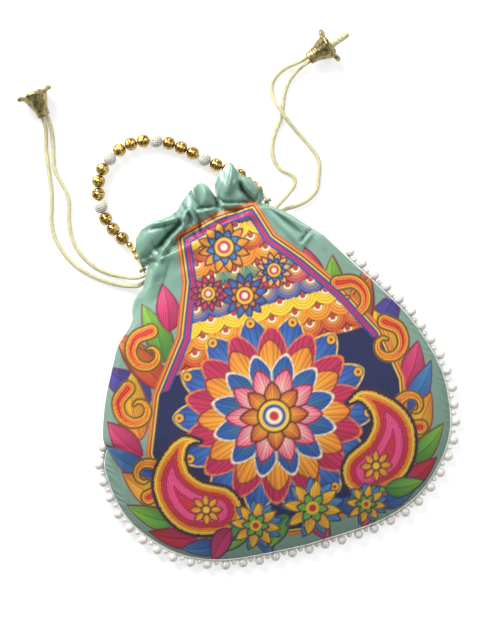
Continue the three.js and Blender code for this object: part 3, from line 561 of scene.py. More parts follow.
# Folds seen in the photo
# Lines in photo pixels, then the width and height in millimetres; a negative height is a crease
FOLDS = [
    ([(215.4, 192), (216.8, 200), (218.5, 209)], 1.7, -9.0),
    ([(204.2, 188.6), (205.9, 196.3), (207.7, 206)], 2.2, 2.8),
    ([(197.5, 192), (198.5, 200), (201, 208)], 2.2, -2.0),
    ([(199.3, 211.7), (204.2, 210.1), (209.8, 209.6), (216.8, 208.2)], 1.2, -2.8),
    ([(200, 214.8), (207, 213.4), (215.4, 211.7)], 1.9, 1.7),
    ([(184.8, 223), (187.3, 215.7), (191.3, 213.1), (194.8, 217.3), (197.2, 223), (198.6, 230)], 1.4, 2.2),
    ([(196.5, 215.2), (200, 223), (202.1, 234.2)], 1.5, -2.2),
    ([(190.9, 220.2), (193, 227.2)], 1.3, -1.4),
    ([(187.3, 221.2), (184, 229.6), (177.6, 237), (170.4, 245), (165.8, 252), (163.6, 260)], 2.0, 4.2),
    ([(183.5, 225), (174.7, 232.2), (167.2, 239.2), (160.5, 248)], 3.6, -7.5),
    ([(145.3, 228.6), (156.5, 225.1), (169.1, 223), (181.7, 220.2)], 2.3, 2.0),
    ([(148.1, 226.5), (162.1, 218.8), (176.1, 213.1)], 1.3, -1.1),
    ([(155.1, 231.4), (167.7, 227.9), (180.3, 225.1)], 1.5, -1.7),
    ([(231.5, 165.4), (232.2, 173.9), (230.8, 183.7), (228, 193.5)], 2.2, 2.6),
    ([(224, 176), (223.2, 186), (221, 196)], 1.8, -1.6),
    ([(236.6, 173.3), (238.9, 183.7), (243, 192.6), (249.3, 199.6), (253.3, 203)], 1.8, -5.0),
    ([(241.8, 181.3), (246.7, 191.1), (252.4, 198.1)], 1.6, 2.4),
    ([(218.2, 199.1), (222.4, 204), (228, 205.4), (239.3, 205), (250.5, 203.3)], 1.3, -3.2),
    ([(225.9, 207.8), (235.1, 206.8), (246.3, 206.8)], 1.9, 2.1),
    ([(223.8, 210.3), (232.2, 212.4), (242.1, 211.7)], 1.2, -1.6),
    ([(246.3, 182.3), (251.2, 190.7), (254.7, 197.7)], 2.4, 1.5),
    ([(264.5, 208.9), (277.1, 220.2), (288.4, 232.8), (301, 246.8)], 2.4, 2.2),
    ([(268.7, 210.3), (285.6, 223), (301, 234.2)], 1.7, -2.2),
    ([(268.3, 207), (284, 215.5), (300, 224.5), (309, 228)], 1.8, 1.8),
    ([(299.6, 242.6), (305.2, 235.6), (311.9, 228.6)], 1.2, -3.4),
    ([(302.4, 244), (308.7, 235.6), (314.3, 229.3)], 1.8, 2.0),
    ([(312.2, 229.3), (316.4, 239.8), (322, 248.2)], 2.0, 1.0),
    ([(166.3, 256.6), (162.1, 270.7), (150.9, 283.3)], 4.5, 1.6),
    ([(172, 262), (166, 282), (158, 300)], 2.4, -0.9),
    ([(143, 266), (152, 262), (160, 262)], 1.3, -1.6),
    ([(225, 225), (218, 245), (214, 268)], 4.5, -0.9),
    ([(245, 222), (252, 246), (262, 270)], 4.5, 0.9),
    ([(102, 446), (116, 444), (130, 447)], 1.6, -0.9),
    ([(122, 452), (125, 475), (128, 500)], 1.8, 0.6),
]


CREASE_SHARPNESS = 0.35
FOLD_DEPTH = 1.25


def fold_height(x, y):
    total = np.zeros(np.shape(x))
    for line, width, height in FOLDS:
        px, py = photo_to_bag(*np.array(line).T)
        steps = np.r_[0, np.cumsum(np.hypot(np.diff(px), np.diff(py)))]
        best = np.full(np.shape(x), 1e9)
        place = np.zeros(np.shape(x))
        for i in range(len(px) - 1):
            ex, ey = px[i + 1] - px[i], py[i + 1] - py[i]
            size = ex * ex + ey * ey
            t = np.clip(((x - px[i]) * ex + (y - py[i]) * ey) / size, 0, 1)
            d = (x - px[i] - t * ex) ** 2 + (y - py[i] - t * ey) ** 2
            nearer = d < best
            best = np.where(nearer, d, best)
            place = np.where(nearer, (steps[i] + t * math.sqrt(size)) / steps[-1], place)
        taper = 0.35 + 0.65 * np.sin(np.pi * np.clip(place * 0.9 + 0.05, 0, 1)) ** 0.7
        crease = np.exp(-(np.sqrt(best + CREASE_SHARPNESS ** 2) - CREASE_SHARPNESS) / (0.75 * width))
        total += FOLD_DEPTH * height * taper * (crease if height < 0 else np.exp(-best / width ** 2))
    return total


def soft_noise(x, y, scale, seed, octaves=3):
    """Smooth noise from a few turned waves, from about -1 to 1."""
    local = np.random.default_rng(seed)
    total = np.zeros(np.shape(x))
    for octave in range(octaves):
        for _ in range(5):
            angle = local.uniform(0, 2 * np.pi)
            phase = local.uniform(0, 2 * np.pi, 2)
            f = 2 * np.pi / scale * 1.9 ** octave * local.uniform(0.7, 1.3)
            u, v = x * math.cos(angle) + y * math.sin(angle), -x * math.sin(angle) + y * math.cos(angle)
            total += np.sin(u * f + phase[0] + 0.7 * np.sin(v * f * 0.6 + phase[1])) * 0.5 ** octave
    return total / 6


# The printed design
RED, ORANGE, YELLOW, CREAM = srgb("c0332c"), srgb("e3802b"), srgb("f0c234"), srgb("f1e2bb")
BLUE, NAVY, SKY, TEAL = srgb("2a4c9c"), srgb("1c2350"), srgb("4f8fc0"), srgb("2f7f7c")
MAGENTA, PINK, PURPLE, BROWN = srgb("b72858"), srgb("df4d7e"), srgb("5c3b88"), srgb("4a2418")
GREEN, LEAF, WINE = srgb("3f8a3c"), srgb("8cbf3f"), srgb("6d1f35")


class Print:
    """Colours and line phases painted on points in plan, by shapes that are laid over each other."""

    def __init__(self, x, y):
        self.x, self.y = x, y
        self.ink = np.broadcast_to(MINT, (len(x), 3)).copy()
        self.stroke = np.zeros(len(x))
        self.printed = np.zeros(len(x))

    def lay(self, distance, color, phase=None, edge=0.45):
        mask = np.clip(0.5 - distance / (2 * edge), 0, 1)
        color = np.broadcast_to(color, self.ink.shape)
        self.ink += (color - self.ink) * mask[:, None]
        inside = mask > 0.5
        self.printed = np.where(inside, 1.0, self.printed)
        if phase is not None:
            self.stroke = np.where(inside, phase, self.stroke)

    def banded(self, distance, step, palette, pitch=1.5, outline=NAVY):
        band = np.clip((-distance / step).astype(int), 0, len(palette) - 1)
        color = np.array(palette)[band]
        shade = 0.82 + 0.3 * np.clip(-distance / (step * len(palette)), 0, 1)
        self.lay(distance, color * shade[:, None], -distance / pitch)
        self.lay(np.abs(distance + 0.5) - 0.6, outline)

    def leaf(self, cx, cy, length, width, angle, bend, root, tip, outline=NAVY, half_tone=0.78):
        a = math.radians(angle)
        u = ((self.x - cx) * math.cos(a) + (self.y - cy) * math.sin(a)) / length
        v = -(self.x - cx) * math.sin(a) + (self.y - cy) * math.cos(a)
        v = v - bend * length * np.clip(u, 0, 1.2) ** 2
        t = np.clip(u, 0, 1)
        w = width * np.sin(np.pi * t ** 0.8) ** 0.85
        d = np.maximum(np.abs(v) - w, np.maximum(-u, u - 1) * length)
        color = lerp(root, tip, (t ** 1.2)[:, None]) * np.where(v > 0, 1.0, half_tone)[:, None]
        near = np.clip(1 - np.abs(v) / np.maximum(w, 0.1), 0, 1)
        self.lay(d, color * (0.85 + 0.25 * near)[:, None], v / 1.4 + t)
        self.lay(np.maximum(np.abs(v) - 0.4, np.maximum(-u, u - 0.9) * length), color * 0.5)
        self.lay(np.abs(d + 0.4) - 0.55, outline)

    def flower(self, cx, cy, radius, petals, turn, inner, outer, outline=WINE, pointed=1.3, depth=0.42):
        r = np.hypot(self.x - cx, self.y - cy)
        step = 2 * np.pi / petals
        a = np.mod(np.arctan2(self.y - cy, self.x - cx) - math.radians(turn), step) - step / 2
        share = np.abs(a) / (step / 2)
        edge = radius * (1 - depth * share ** pointed)
        d = (r - edge) * 0.8
        t = np.clip(r / edge, 0, 1)[:, None]
        side = np.where(a > 0, 1.0, 0.86)[:, None]
        self.lay(d, lerp(inner, outer, t ** 1.3) * side, share * 4 + 0 * r)
        self.lay(np.maximum((1 - share) * step / 2 * r - 0.6, d), outline)
        self.lay(np.abs(d + 0.5) - 0.6, outline)

    def rings(self, cx, cy, radii, colors):
        r = np.hypot(self.x - cx, self.y - cy)
        for radius, color in zip(radii, colors):
            self.lay(r - radius, color, r / 1.2)

    def curl(self, points, radii, palette, step=2.2, outline=NAVY):
        """A tapering swirl through given points."""
        line = catmull([(x, y, r) for (x, y), r in zip(points, radii)], 8)
        d = np.full(len(self.x), 1e9)
        for (ax, ay, ar), (bx, by, br) in zip(line[:-1], line[1:]):
            ex, ey = bx - ax, by - ay
            t = np.clip(((self.x - ax) * ex + (self.y - ay) * ey) / max(ex * ex + ey * ey, 1e-6), 0, 1)
            d = np.minimum(d, np.hypot(self.x - ax - t * ex, self.y - ay - t * ey) - (ar + (br - ar) * t))
        self.banded(d, step, palette, outline=outline)

    def polygon(self, corners):
        corners = np.array(corners, float)
        nearest = np.full(len(self.x), 1e18)
        inside = np.zeros(len(self.x), bool)
        for (ax, ay), (bx, by) in zip(corners, np.roll(corners, -1, axis=0)):
            ex, ey = bx - ax, by - ay
            t = np.clip(((self.x - ax) * ex + (self.y - ay) * ey) / (ex * ex + ey * ey), 0, 1)
            nearest = np.minimum(nearest, (self.x - ax - t * ex) ** 2 + (self.y - ay - t * ey) ** 2)
            if ay != by:
                inside ^= ((ay > self.y) != (by > self.y)) & (self.x < ax + (self.y - ay) / (by - ay) * ex)
        return np.where(inside, -1, 1) * np.sqrt(nearest)


def spiral(cx, cy, start, turns, size, length, taper):
    """Points and radii of a scroll that winds in to its centre."""
    t = np.linspace(0, 1, 9)
    angle = math.radians(start) + turns * 2 * np.pi * t
    reach = size * (1 - 0.8 * t)
    points = [(cx + r * math.cos(a), cy + r * math.sin(a)) for r, a in zip(reach, angle)]
    return points, list(taper * (1 - 0.72 * t) * length)


PRINT_TOP = 18.0
GROUND = [(-34, 104), (-30.5, 134), (-4, 141), (23.5, 143), (31, 119.5), (46, 102), (66, 74), (82, 44),
          (88, 10), (80, -34), (58, -60), (4, -72), (-54, -64), (-78, -38), (-84, 4), (-70, 40),
          (-46, 72)]
# Foot, length, width, angle, bend, root and tip of each plume of the right half; the left half mirrors it
PLUMES = [
    (74, 34, 40, 10, 66, -0.3, BLUE, PURPLE), (84, 14, 42, 11, 78, 0.34, ORANGE, YELLOW),
    (86, 4, 30, 9, 40, 0.3, MAGENTA, PINK), (82, -8, 32, 9, 15, 0.5, BLUE, SKY),
    (70, 46, 38, 10, 92, -0.36, YELLOW, RED), (58, 58, 38, 9, 100, -0.3, GREEN, LEAF),
    (62, 40, 44, 9, 72, -0.2, RED, ORANGE), (80, -28, 32, 9, 30, 0.3, YELLOW, ORANGE),
    (78, -42, 30, 8, 8, 0.4, GREEN, LEAF), (66, -56, 30, 8, -4, 0.4, MAGENTA, RED),
    (50, 76, 30, 8, 108, -0.2, MAGENTA, PINK), (52, -64, 26, 7, -12, 0.3, BLUE, SKY),
]
SCALES = [RED, ORANGE, YELLOW, BLUE, MAGENTA, TEAL, ORANGE, RED, YELLOW, NAVY, ORANGE, RED]


def scale_rows(x, y, width, height, start):
    """Which row of overlapping scales a point is in, and how far it is from its scale's foot."""
    row = np.floor((y - start) / height)
    for shift in (0, 1):
        this = row - shift
        sx = np.mod(x + np.where(np.mod(this, 2) > 0.5, width / 2, 0), width) - width / 2
        r = np.hypot(sx, (y - start - this * height) - height)
        if shift == 0:
            first, distance = r <= width * 0.68, r
    return np.where(first, row, row - 1), np.where(first, distance, r)


def paint(x, y):
    p = Print(x, y)
    for side in (-1, 1):
        for cx, cy, length, width, angle, bend, root, tip in PLUMES:
            turned = angle if side > 0 else 180 - angle
            p.leaf(side * cx, cy, length, width, turned, side * bend, root, tip, WINE)
    ground = p.polygon(GROUND)
    p.lay(ground, NAVY, ground / 2.0)
    p.lay(np.abs(ground + 1.0) - 1.0, ORANGE, ground / 2.0)
    p.lay(np.abs(ground + 3.4) - 0.5, YELLOW)
    for side in (-1, 1):
        for x0, y0, turn in ((82, 34, 80), (88, -10, -80), (66, 66, 110)):
            turned = turn if side > 0 else 180 - turn
            points, radii = spiral(side * x0, y0, turned, -side * 1.05, 14, 1, 5.2)
            p.curl(points, radii, [YELLOW, ORANGE, RED], 1.7, BROWN)
    # Scales that climb from the rosette to the neck, between a sash at each side
    row, r = scale_rows(x, y, 15.0, 9.0, 50.0)
    color = np.array(SCALES)[np.mod(row, len(SCALES)).astype(int)]
    yellow_share = (np.clip(1 - r / 10, 0, 1) ** 1.4)[:, None] * 0.75
    color = lerp(color, np.broadcast_to(YELLOW, color.shape), yellow_share)
    arch = np.maximum(ground + 9.0, 48 - y)
    p.lay(arch, color, r / 1.9)
    p.lay(np.maximum(arch, np.abs(r - 9.9) - 0.6), BROWN)
    p.lay(np.maximum(arch, r - 3.0), CREAM)
    p.lay(np.maximum(arch, r - 1.8), RED)
    sash = np.maximum(np.abs(ground + 6.6) - 2.4, 40 - y)
    p.lay(sash, BLUE, ground / 1.6)
    p.lay(np.maximum(sash, np.abs(ground + 6.6) - 1.1), MAGENTA, ground / 1.6)
    for k, (cx, cy, size) in enumerate(((-3, 119, 17), (-20, 93, 12), (24, 97, 12), (2, 86, 15))):
        outer, inner = ((YELLOW, ORANGE), (PINK, MAGENTA), (CREAM, ORANGE), (SKY, BLUE))[k]
        p.flower(cx, cy, size, 12, 15, outer, inner, BROWN, 1.2, 0.3)
        outer_ink, inner_ink = (BLUE, SKY) if k % 2 == 0 else (YELLOW, RED)
        p.flower(cx, cy, size * 0.68, 9, 0, outer_ink, inner_ink, NAVY, 1.2, 0.3)
        ring_sizes = [size * share for share in (0.42, 0.35, 0.25, 0.13)]
        p.rings(cx, cy, ring_sizes, [BROWN, YELLOW, MAGENTA, CREAM])
    # Large rosette
    cx, cy = 1.0, 8.0
    p.flower(cx, cy, 64, 14, 0, SKY, BLUE, YELLOW, 1.6, 0.24)
    p.flower(cx, cy, 57, 14, 13, RED, MAGENTA, ORANGE, 1.6, 0.26)
    p.flower(cx, cy, 49, 12, 4, YELLOW, ORANGE, WINE, 1.5, 0.3)
    p.flower(cx, cy, 40, 12, 19, TEAL, BLUE, CREAM, 1.5, 0.3)
    p.flower(cx, cy, 31, 10, 6, CREAM, PINK, WINE, 1.3, 0.32)
    p.flower(cx, cy, 22, 8, 12, YELLOW, RED, BROWN, 1.2, 0.34)
    p.rings(cx, cy, [11, 9.6, 7.4, 5.2, 3], [BROWN, YELLOW, BLUE, CREAM, RED])
    for k in range(14):
        a = 2 * math.pi * (k + 0.5) / 14
        p.rings(cx + 60 * math.cos(a), cy + 60 * math.sin(a), [3.4, 2.6, 1.4], [NAVY, YELLOW, RED])
    # Mango motifs below the rosette, one at each side
    for s in (-1, 1):
        points = [(s * 50, -42), (s * 64, -36), (s * 72, -20), (s * 68, -4), (s * 58, 6), (s * 48, 4)]
        p.curl(points, [18, 19, 15, 9, 5, 2],
               [NAVY, YELLOW, ORANGE, RED, MAGENTA, PINK, PINK, MAGENTA, RED], 2.1, BROWN)
        p.flower(s * 56, -40, 11, 8, 10, YELLOW, ORANGE, WINE)
        p.rings(s * 56, -40, [3.6, 2.2], [WINE, YELLOW])
    # Foliage and three open blossoms along the bottom
    for x0, angle, root, tip in ((-30, 200, GREEN, LEAF), (-22, 250, BLUE, SKY), (-6, 215, GREEN, LEAF),
                                 (26, -35, BLUE, SKY), (34, -15, GREEN, LEAF), (58, -20, GREEN, LEAF),
                                 (10, 268, RED, PINK), (50, 230, RED, PINK), (-44, 215, MAGENTA, PINK)):
        p.leaf(x0, -56, 26, 7, angle, 0.25, root, tip)
    for x0, y0, size in ((-28, -58, 18), (10, -56, 21), (44, -63, 15)):
        p.flower(x0, y0, size, 9, 20, BLUE, SKY, NAVY, 1.2, 0.5)
        p.flower(x0, y0, size * 0.92, 8, 0, ORANGE, YELLOW, BROWN, 1.2, 0.5)
        p.flower(x0, y0, size * 0.5, 6, 10, GREEN, LEAF, NAVY, 1.2, 0.4)
        p.rings(x0, y0, [size * 0.2, size * 0.12], [YELLOW, RED])
    return p


def satin_share(x, y):
    nx, ny = to_neck(x, y)
    return smooth(ny + 0.3 * np.maximum(nx, 0), -24, -9)


def hollow_share(x, y):
    """How deep in a crease a point lies, from -1 on a ridge to 1 in a sharp hollow."""
    around = sum(front_relief(x + dx, y + dy) for dx, dy in ((2.2, 0), (-2.2, 0), (0, 2.2), (0, -2.2))) / 4
    return np.clip((around - front_relief(x, y)) / 1.0, -1, 1)


def cloth_attributes(points, front):
    x, y = points[:, 0], points[:, 1]
    satin = satin_share(x, y)
    if front:
        p = paint(x, y)
        above = to_neck(x, y)[1] > PRINT_TOP
        p.printed[above] = 0
        p.ink[above] = MINT
        ink, stroke, printed = p.ink, p.stroke, p.printed
    else:
        ink = np.broadcast_to(MINT, (len(x), 3))
        stroke = printed = np.zeros(len(x))
    ink = ink + (SATIN - MINT) * (satin * (1 - printed))[:, None]
    if front:
        # Painted shade and light: the ink is darkened in the creases and lightened a little on the ridges,
        # more on the satin.
        hollow = hollow_share(x, y)
        painted_fold_shading = 0.5 * np.maximum(hollow, 0) - 0.12 * np.maximum(-hollow, 0)
        ink = ink * (1 - painted_fold_shading * (0.3 + 0.7 * satin))[:, None]
    return ink, {"satin": satin * (1 - 0.55 * printed), "stroke": stroke, "printed": printed}


# Cloth of the body, the collar and the frill
COLUMNS, BODY_ROWS, COLLAR_ROWS = 330, 290, 116
BACK_COLUMNS, BACK_ROWS, BACK_COLLAR_ROWS = 180, 130, 90
FRILL_TOP = np.array([[-46, 7], [-44.6, 13], [-43, 20], [-40, 24.5], [-34.3, 27.7], [-24.8, 28.2],
                      [-14, 26.4], [-8, 27.4], [-1, 31.4], [6.8, 35.1], [12, 36], [15.2, 34.6], [17, 31],
                      [18.2, 22.5], [19.2, 26.5], [21.2, 30.4], [26, 34], [31, 36.6], [36, 38.2],
                      [37.4, 37.4], [38.2, 32], [39.4, 26.5], [42, 24.5], [44.4, 21], [45.6, 14],
                      [46, 7]])
CREASE_HEIGHT = 12.0
FRILL_EDGE = 0.9
LINING_DEPTH, LOWEST_LINING = 1.1, 1.0


def crowd(count, power):
    step = np.linspace(-1, 1, count)
    return np.sign(step) * (1 - (1 - np.abs(step)) ** power)


def ring_angle(across):
    return np.arccos(np.clip(signed_power(across, RING_SQUARENESS / 2), -1, 1))


def channel_half(y):
    return CHANNEL_HALF_WIDTH - CHANNEL_TAPER * y


def ring(angle, left, right, half_thickness, height, outwards):
    """Points of a flattened ring in the neck's frame; left and right are its ends in plan."""
    power = 2 / RING_SQUARENESS
    c, s = signed_power(np.cos(angle), power), signed_power(np.sin(angle), power)
    left, right = np.asarray(left, float), np.asarray(right, float)
    half = (right - left) / 2
    size = math.hypot(*half)
    across = half / size
    sx, sz = c ** 2 * np.sign(c) * half_thickness, s * size
    norm = np.maximum(np.hypot(sx, sz), 1e-9)
    x = left[0] + half[0] * (1 + c) + across[0] * sx / norm * outwards
    y = left[1] + half[1] * (1 + c) + across[1] * sx / norm * outwards
    return x, y, height + half_thickness * s + sz / norm * outwards


def collar_rings(angle):
    wave = gather_wave(angle)
    up, down = np.clip(np.sin(angle), 0, 1), np.clip(-np.sin(angle), 0, 1)
    c = signed_power(np.cos(angle), 2 / RING_SQUARENESS)
    ends = [np.array(to_neck(*SHOULDER[k])) for k in (-1, 1)]
    low = -CHANNEL_LENGTH
    rows = []
    for share in (0.0, 0.5):
        left = lerp(ends[0], np.array([-channel_half(low), low]), share)
        right = lerp(ends[1], np.array([channel_half(low), low]), share)
        gathers = 0.35 * GATHER_DEPTH * wave * (1 - np.abs(c) ** 8) if share == 0 else 0.5 * wave
        rows.append(ring(angle, left, right, SHOULDER_HALF + WALL / 2, NECK_HEIGHT, gathers))
    for y in (-CHANNEL_LENGTH, CHANNEL_LENGTH):
        half = channel_half(y)
        rows.append(ring(angle, (-half, y), (half, y), CHANNEL_HALF + WALL / 2, NECK_HEIGHT, 0.6 * wave))
    top = np.interp(45.5 * c, FRILL_TOP[:, 0], FRILL_TOP[:, 1])
    back_top = 7 + 14 * down ** 0.6 + 1.5 * np.cos(7 * angle) * down
    height = np.where(np.sin(angle) >= 0, top, back_top)
    root = 6.5
    for share in (0.0, 0.2, 0.4, 0.6, 0.8, 1.0):
        half = lerp(channel_half(root), 45.0, min(1, 2.4 * share))
        wide = 0.6 * wave * lerp(1, 0.5, share) + 1.2 * down * np.sin(7 * angle) * share
        thick = lerp(CHANNEL_HALF - 2, 10.8, share) + 1.6 * math.sin(math.pi * share)
        x, _, z = ring(angle, (-half, 0), (half, 0), thick, NECK_HEIGHT + 6.0 * share, wide)
        curl = 26.0 * max(0.0, share - 0.6) ** 2
        rows.append((x, root + share * (height - root), z - curl * up ** 0.6 + 0.8 * curl * down ** 0.6))
    return np.array([np.stack(np.broadcast_arrays(*row), -1) for row in rows])


def collar_surface(angle, count):
    rings = collar_rings(angle)
    t = np.linspace(0, len(rings) - 1, count)
    i = np.minimum(t.astype(int), len(rings) - 2)
    w = (t - i)[:, None, None]
    p0, p1 = rings[np.maximum(i - 1, 0)], rings[i]
    p2, p3 = rings[i + 1], rings[np.minimum(i + 2, len(rings) - 1)]
    out = 0.5 * (2 * p1 + (p2 - p0) * w + (2 * p0 - 5 * p1 + 4 * p2 - p3) * w ** 2
                 + (3 * p1 - p0 - 3 * p2 + p3) * w ** 3)
    return from_neck(out[..., 0], out[..., 1], out[..., 2])


def front_relief(x, y):
    """How far the front cloth stands off its plain shape, as folds, gathers and a slow unevenness."""
    nx, ny = to_neck(x, y)
    crease = CREASE_HEIGHT + 1.6 * np.sin(nx * 0.16) + 0.8 * np.sin(nx * 0.41 + 1)
    hollow = -1.6 * hump(ny - crease, 2.2) + 1.6 * hump(ny - crease + 7, 5.0)
    pinch = (1 - np.abs(np.sin(nx * 0.42 + 1.5 * np.sin(nx * 0.21) + 0.08 * ny))) ** 2
    pleats = -0.9 * pinch * hump(ny - crease + 2.5, 5.0)
    spread = nx * 0.24 + 0.05 * ny * np.sin(nx * 0.09 + 1) + 0.9 * np.sin(nx * 0.11)
    frill = -1.5 * (1 - np.abs(np.sin(spread))) ** 2.5 * smooth(ny, crease, crease + 7)
    ripples = frill + 0.35 * soft_noise(x, y, 22, 9, 3) * satin_share(x, y)
    relief = fold_height(x, y) + hollow + pleats + ripples + 0.55 * soft_noise(x, y, 70, 3, 2)
    over_handle = smooth(nx, 18, 27) * smooth(ny, 19, 26)
    return relief + over_handle * (1.0 + 0.8 * np.maximum(-relief, 0))


def back_relief(x, y):
    nx, ny = to_neck(x, y)
    pull = 1.6 * hump(ny - 9, 3) - 0.6 * np.sin(nx * 0.8) * hump(ny - 8, 6)
    spread = 0.5 * np.sin(nx * 0.35 + 2 * np.sin(ny * 0.05)) * hump(ny + 14, 16)
    return pull - spread - 0.5 * soft_noise(x, y, 40, 5, 2)


def cloth_piece(name, point, node, slot, front):
    flat = point.reshape(-1, 3)
    ink, floats = cloth_attributes(flat, front)
    obj = mesh_from(name, flat, grid_quads(*point.shape[:2], False), CLOTH, ink, floats)
    return dress(obj, slot, "pouch", node)


def front_cloth():
    line = crowd(COLUMNS, 1.2)
    across, along = np.meshgrid(line, np.linspace(0, 1, BODY_ROWS))
    body = front_point(across, along)
    x, y = body[..., 0].copy(), body[..., 1].copy()
    edge = np.minimum(1 - np.abs(across), along * 1.4)
    pucker = 0.35 * np.sin((x + y) * 1.1 + 2 * np.sin(y * 0.3))
    pucker = pucker * (1 - smooth(edge, 0, 0.1)) * smooth(edge, 0, 0.012)
    body[..., 2] += smooth(edge, 0, 0.1) * front_relief(x, y) + pucker * (1 - smooth(along, 0.85, 1))
    panel = cloth_piece("printed_front", body, "front_panel", "mint_cloth", True)

    collar = collar_surface(ring_angle(line), COLLAR_ROWS)
    x, y = collar[..., 0].copy(), collar[..., 1].copy()
    collar[..., 2] += smooth(1 - np.abs(line), 0, 0.1) * front_relief(x, y)
    top = cloth_piece("satin_top_front", collar, "satin_collar", "mint_satin", True)
    inner = inside("frill_inside_front", collar)


def back_cloth():
    line = -crowd(BACK_COLUMNS, 1.3)
    across, along = np.meshgrid(line, np.linspace(0, 1, BACK_ROWS))
    body = back_point(across, along)
    x, y = body[..., 0].copy(), body[..., 1].copy()
    lifted = smooth(body[..., 2], 0.3, 3.0) * smooth(1 - np.abs(across), 0, 0.1)
    body[..., 2] = np.maximum(0, body[..., 2] + lifted * back_relief(x, y))
    panel = cloth_piece("back_cloth", body, "back_panel", "mint_cloth", False)

    collar = collar_surface(-ring_angle(line), BACK_COLLAR_ROWS)
    x, y, z = (collar[..., k].copy() for k in range(3))
    lifted = smooth(z, 0.3, 3.0) * smooth(1 - np.abs(line), 0, 0.1)
    collar[..., 2] = np.maximum(0, z + lifted * back_relief(x, y))
    top = cloth_piece("satin_top_back", collar, "satin_collar", "mint_satin", False)
    inner = inside("frill_inside_back", collar)


def inside(name, surface):
    """The inner face of the frill, from its edge down into the neck."""
    rows = surface.shape[0] // 2
    depth = FRILL_EDGE * smooth(np.arange(surface.shape[0])[::-1], 0, 3)
    part = (surface - surface_normal(surface) * depth[:, None, None])[-rows:][::-1, ::2]
    obj = mesh_from(name, part.reshape(-1, 3), grid_quads(*part.shape[:2], False), LINING)
    return dress(obj, "mint_satin", "pouch")


def lining(name, surface, facing):
    across, along = np.meshgrid(facing * crowd(70, 1.5), np.linspace(0, 1, 60))
    point = surface(across, along)
    point -= surface_normal(point) * LINING_DEPTH * smooth(1 - np.abs(across), 0, 0.06)[..., None]
    point[..., 2] = np.maximum(point[..., 2], LOWEST_LINING)
    obj = mesh_from(name, point.reshape(-1, 3), grid_quads(*point.shape[:2], False), LINING)
    dress(obj, "mint_cloth", "pouch")


def neck_ring(angle, y, inset):
    half = channel_half(y) - inset
    x, _, z = ring(angle, (-half, 0), (half, 0), CHANNEL_HALF - inset, NECK_HEIGHT, 0)
    return from_neck(x, np.full(np.shape(angle), float(y)), z)


CORD_RADIUS, CORD_ROOM = 1.4, 4.2
CLOTH_INSET = GATHER_DEPTH + WALL / 2


def channel_parts():
    columns = 200
    angle = -full_turn(columns)
    deep = CLOTH_INSET + CORD_ROOM
    rows = [(-5.4, 3.1), (-4.4, 4.6), (-3.6, deep + 0.3), (0, deep + 0.5), (3.6, deep + 0.3), (4.4, 4.6),
            (5.4, 3.1)]
    points = np.array([neck_ring(angle, y, inset) for y, inset in rows]).reshape(-1, 3)
    strip = mesh_from("channel_strip", points, grid_quads(len(rows), columns, True), BAND)
    wall = strip.modifiers.new("wall", "SOLIDIFY")
    wall.thickness = 0.6 * MM
    dress(strip, "mint_satin", "pouch", "casing_band")
    gap = math.radians(40)
    for side, y in ((-1, 1.9), (1, -1.9)):
        start = (math.pi if side < 0 else 0) + gap
        sweep = np.linspace(start, start + 2 * (math.pi - gap), 73)
        name = side_name(side)
        route = neck_ring(sweep, y, CLOTH_INSET + CORD_ROOM / 2)
        run, _ = tube(f"{name}_run", route, CORD_RADIUS, 12, 1.2, CORD)
        dress(run, "cream_cord", "pouch", f"{name}_cord_run")


# Drawstrings, caps and knots
LYING = CORD_RADIUS + 0.2
STRANDS = {
    "left_back_strand": [
        (-45.4, 117.77, 9.7), (-49, 116.4, 9.2), (-53.4, 114.1, 8.8), (-57.4, 111.9, 8), (-62.6, 110, 5.6),
        (-69.1, 111.2, 2.8), (-74.4, 113.2, LYING), (-82.2, 117.3, LYING), (-92.7, 125.2, LYING),
        (-101, 134.4, LYING), (-106.3, 145.5, LYING), (-108.6, 155.9, LYING), (-108, 165, LYING),
        (-105.6, 173.6, LYING), (-103, 184, LYING), (-102, 192.9, LYING), (-101, 201, LYING),
        (-99.3, 212.9, LYING), (-96.6, 221.6, 3.4)],
    "left_front_strand": [
        (-45.3, 117.8, 25.1), (-48.4, 117, 24), (-52.2, 116, 21.8), (-55.9, 115.1, 18.6),
        (-59.6, 114.7, 14), (-63.6, 115.2, 8.4), (-69, 117.1, 3.6), (-74, 119.3, LYING),
        (-79.2, 121.9, LYING),
        (-87.3, 128.2, LYING), (-93.4, 136.7, LYING), (-97, 145.9, LYING), (-97.6, 155.4, LYING),
        (-96.2, 165.2, LYING), (-94, 172.8, LYING), (-93.8, 180.9, LYING), (-96, 190.1, LYING),
        (-97.4, 196.6, LYING), (-96.4, 204.5, LYING), (-94.4, 212.9, LYING), (-93, 221.4, 3.4)],
    "right_back_strand": [
        (25, 131.9, 9.7), (29, 132.9, 9.2), (34, 133.8, 8.2), (40, 134.2, 5), (46, 134.5, 2.6),
        (52, 135.2, LYING), (58.9, 137.2, LYING), (64.6, 141.4, LYING), (68.3, 150.1, LYING),
        (70.5, 156.9, LYING), (70.2, 162.9, LYING), (68, 169, LYING), (64.4, 176.3, LYING),
        (60.2, 184.3, 3), (56.6, 192.3, 4.9), (54.2, 199, 4.9), (52.2, 206.2, 3), (52.3, 211.8, LYING),
        (54.8, 217, LYING), (60, 221.3, LYING), (66.8, 223.9, LYING), (73, 224.6, 3)],
    "right_front_strand": [
        (24.9, 131.9, 25.1), (28.2, 132.9, 23.8), (32.6, 134.6, 20.4), (37.6, 137.4, 14),
        (42.6, 140.8, 7.4), (47, 144.1, 3.2), (50.2, 146.8, 1.8), (52.2, 149.8, LYING),
        (52.1, 153.4, LYING), (49.9, 156.4, LYING), (45.8, 159.6, LYING), (43, 164.9, LYING),
        (42.6, 171.3, LYING), (44.6, 178.4, LYING), (48.4, 185, LYING), (53, 191.3, LYING),
        (56, 197.2, LYING), (58.6, 204.1, LYING), (61.8, 210.4, LYING),
        (66.6, 216, LYING), (73.2, 220.6, 3)],
}
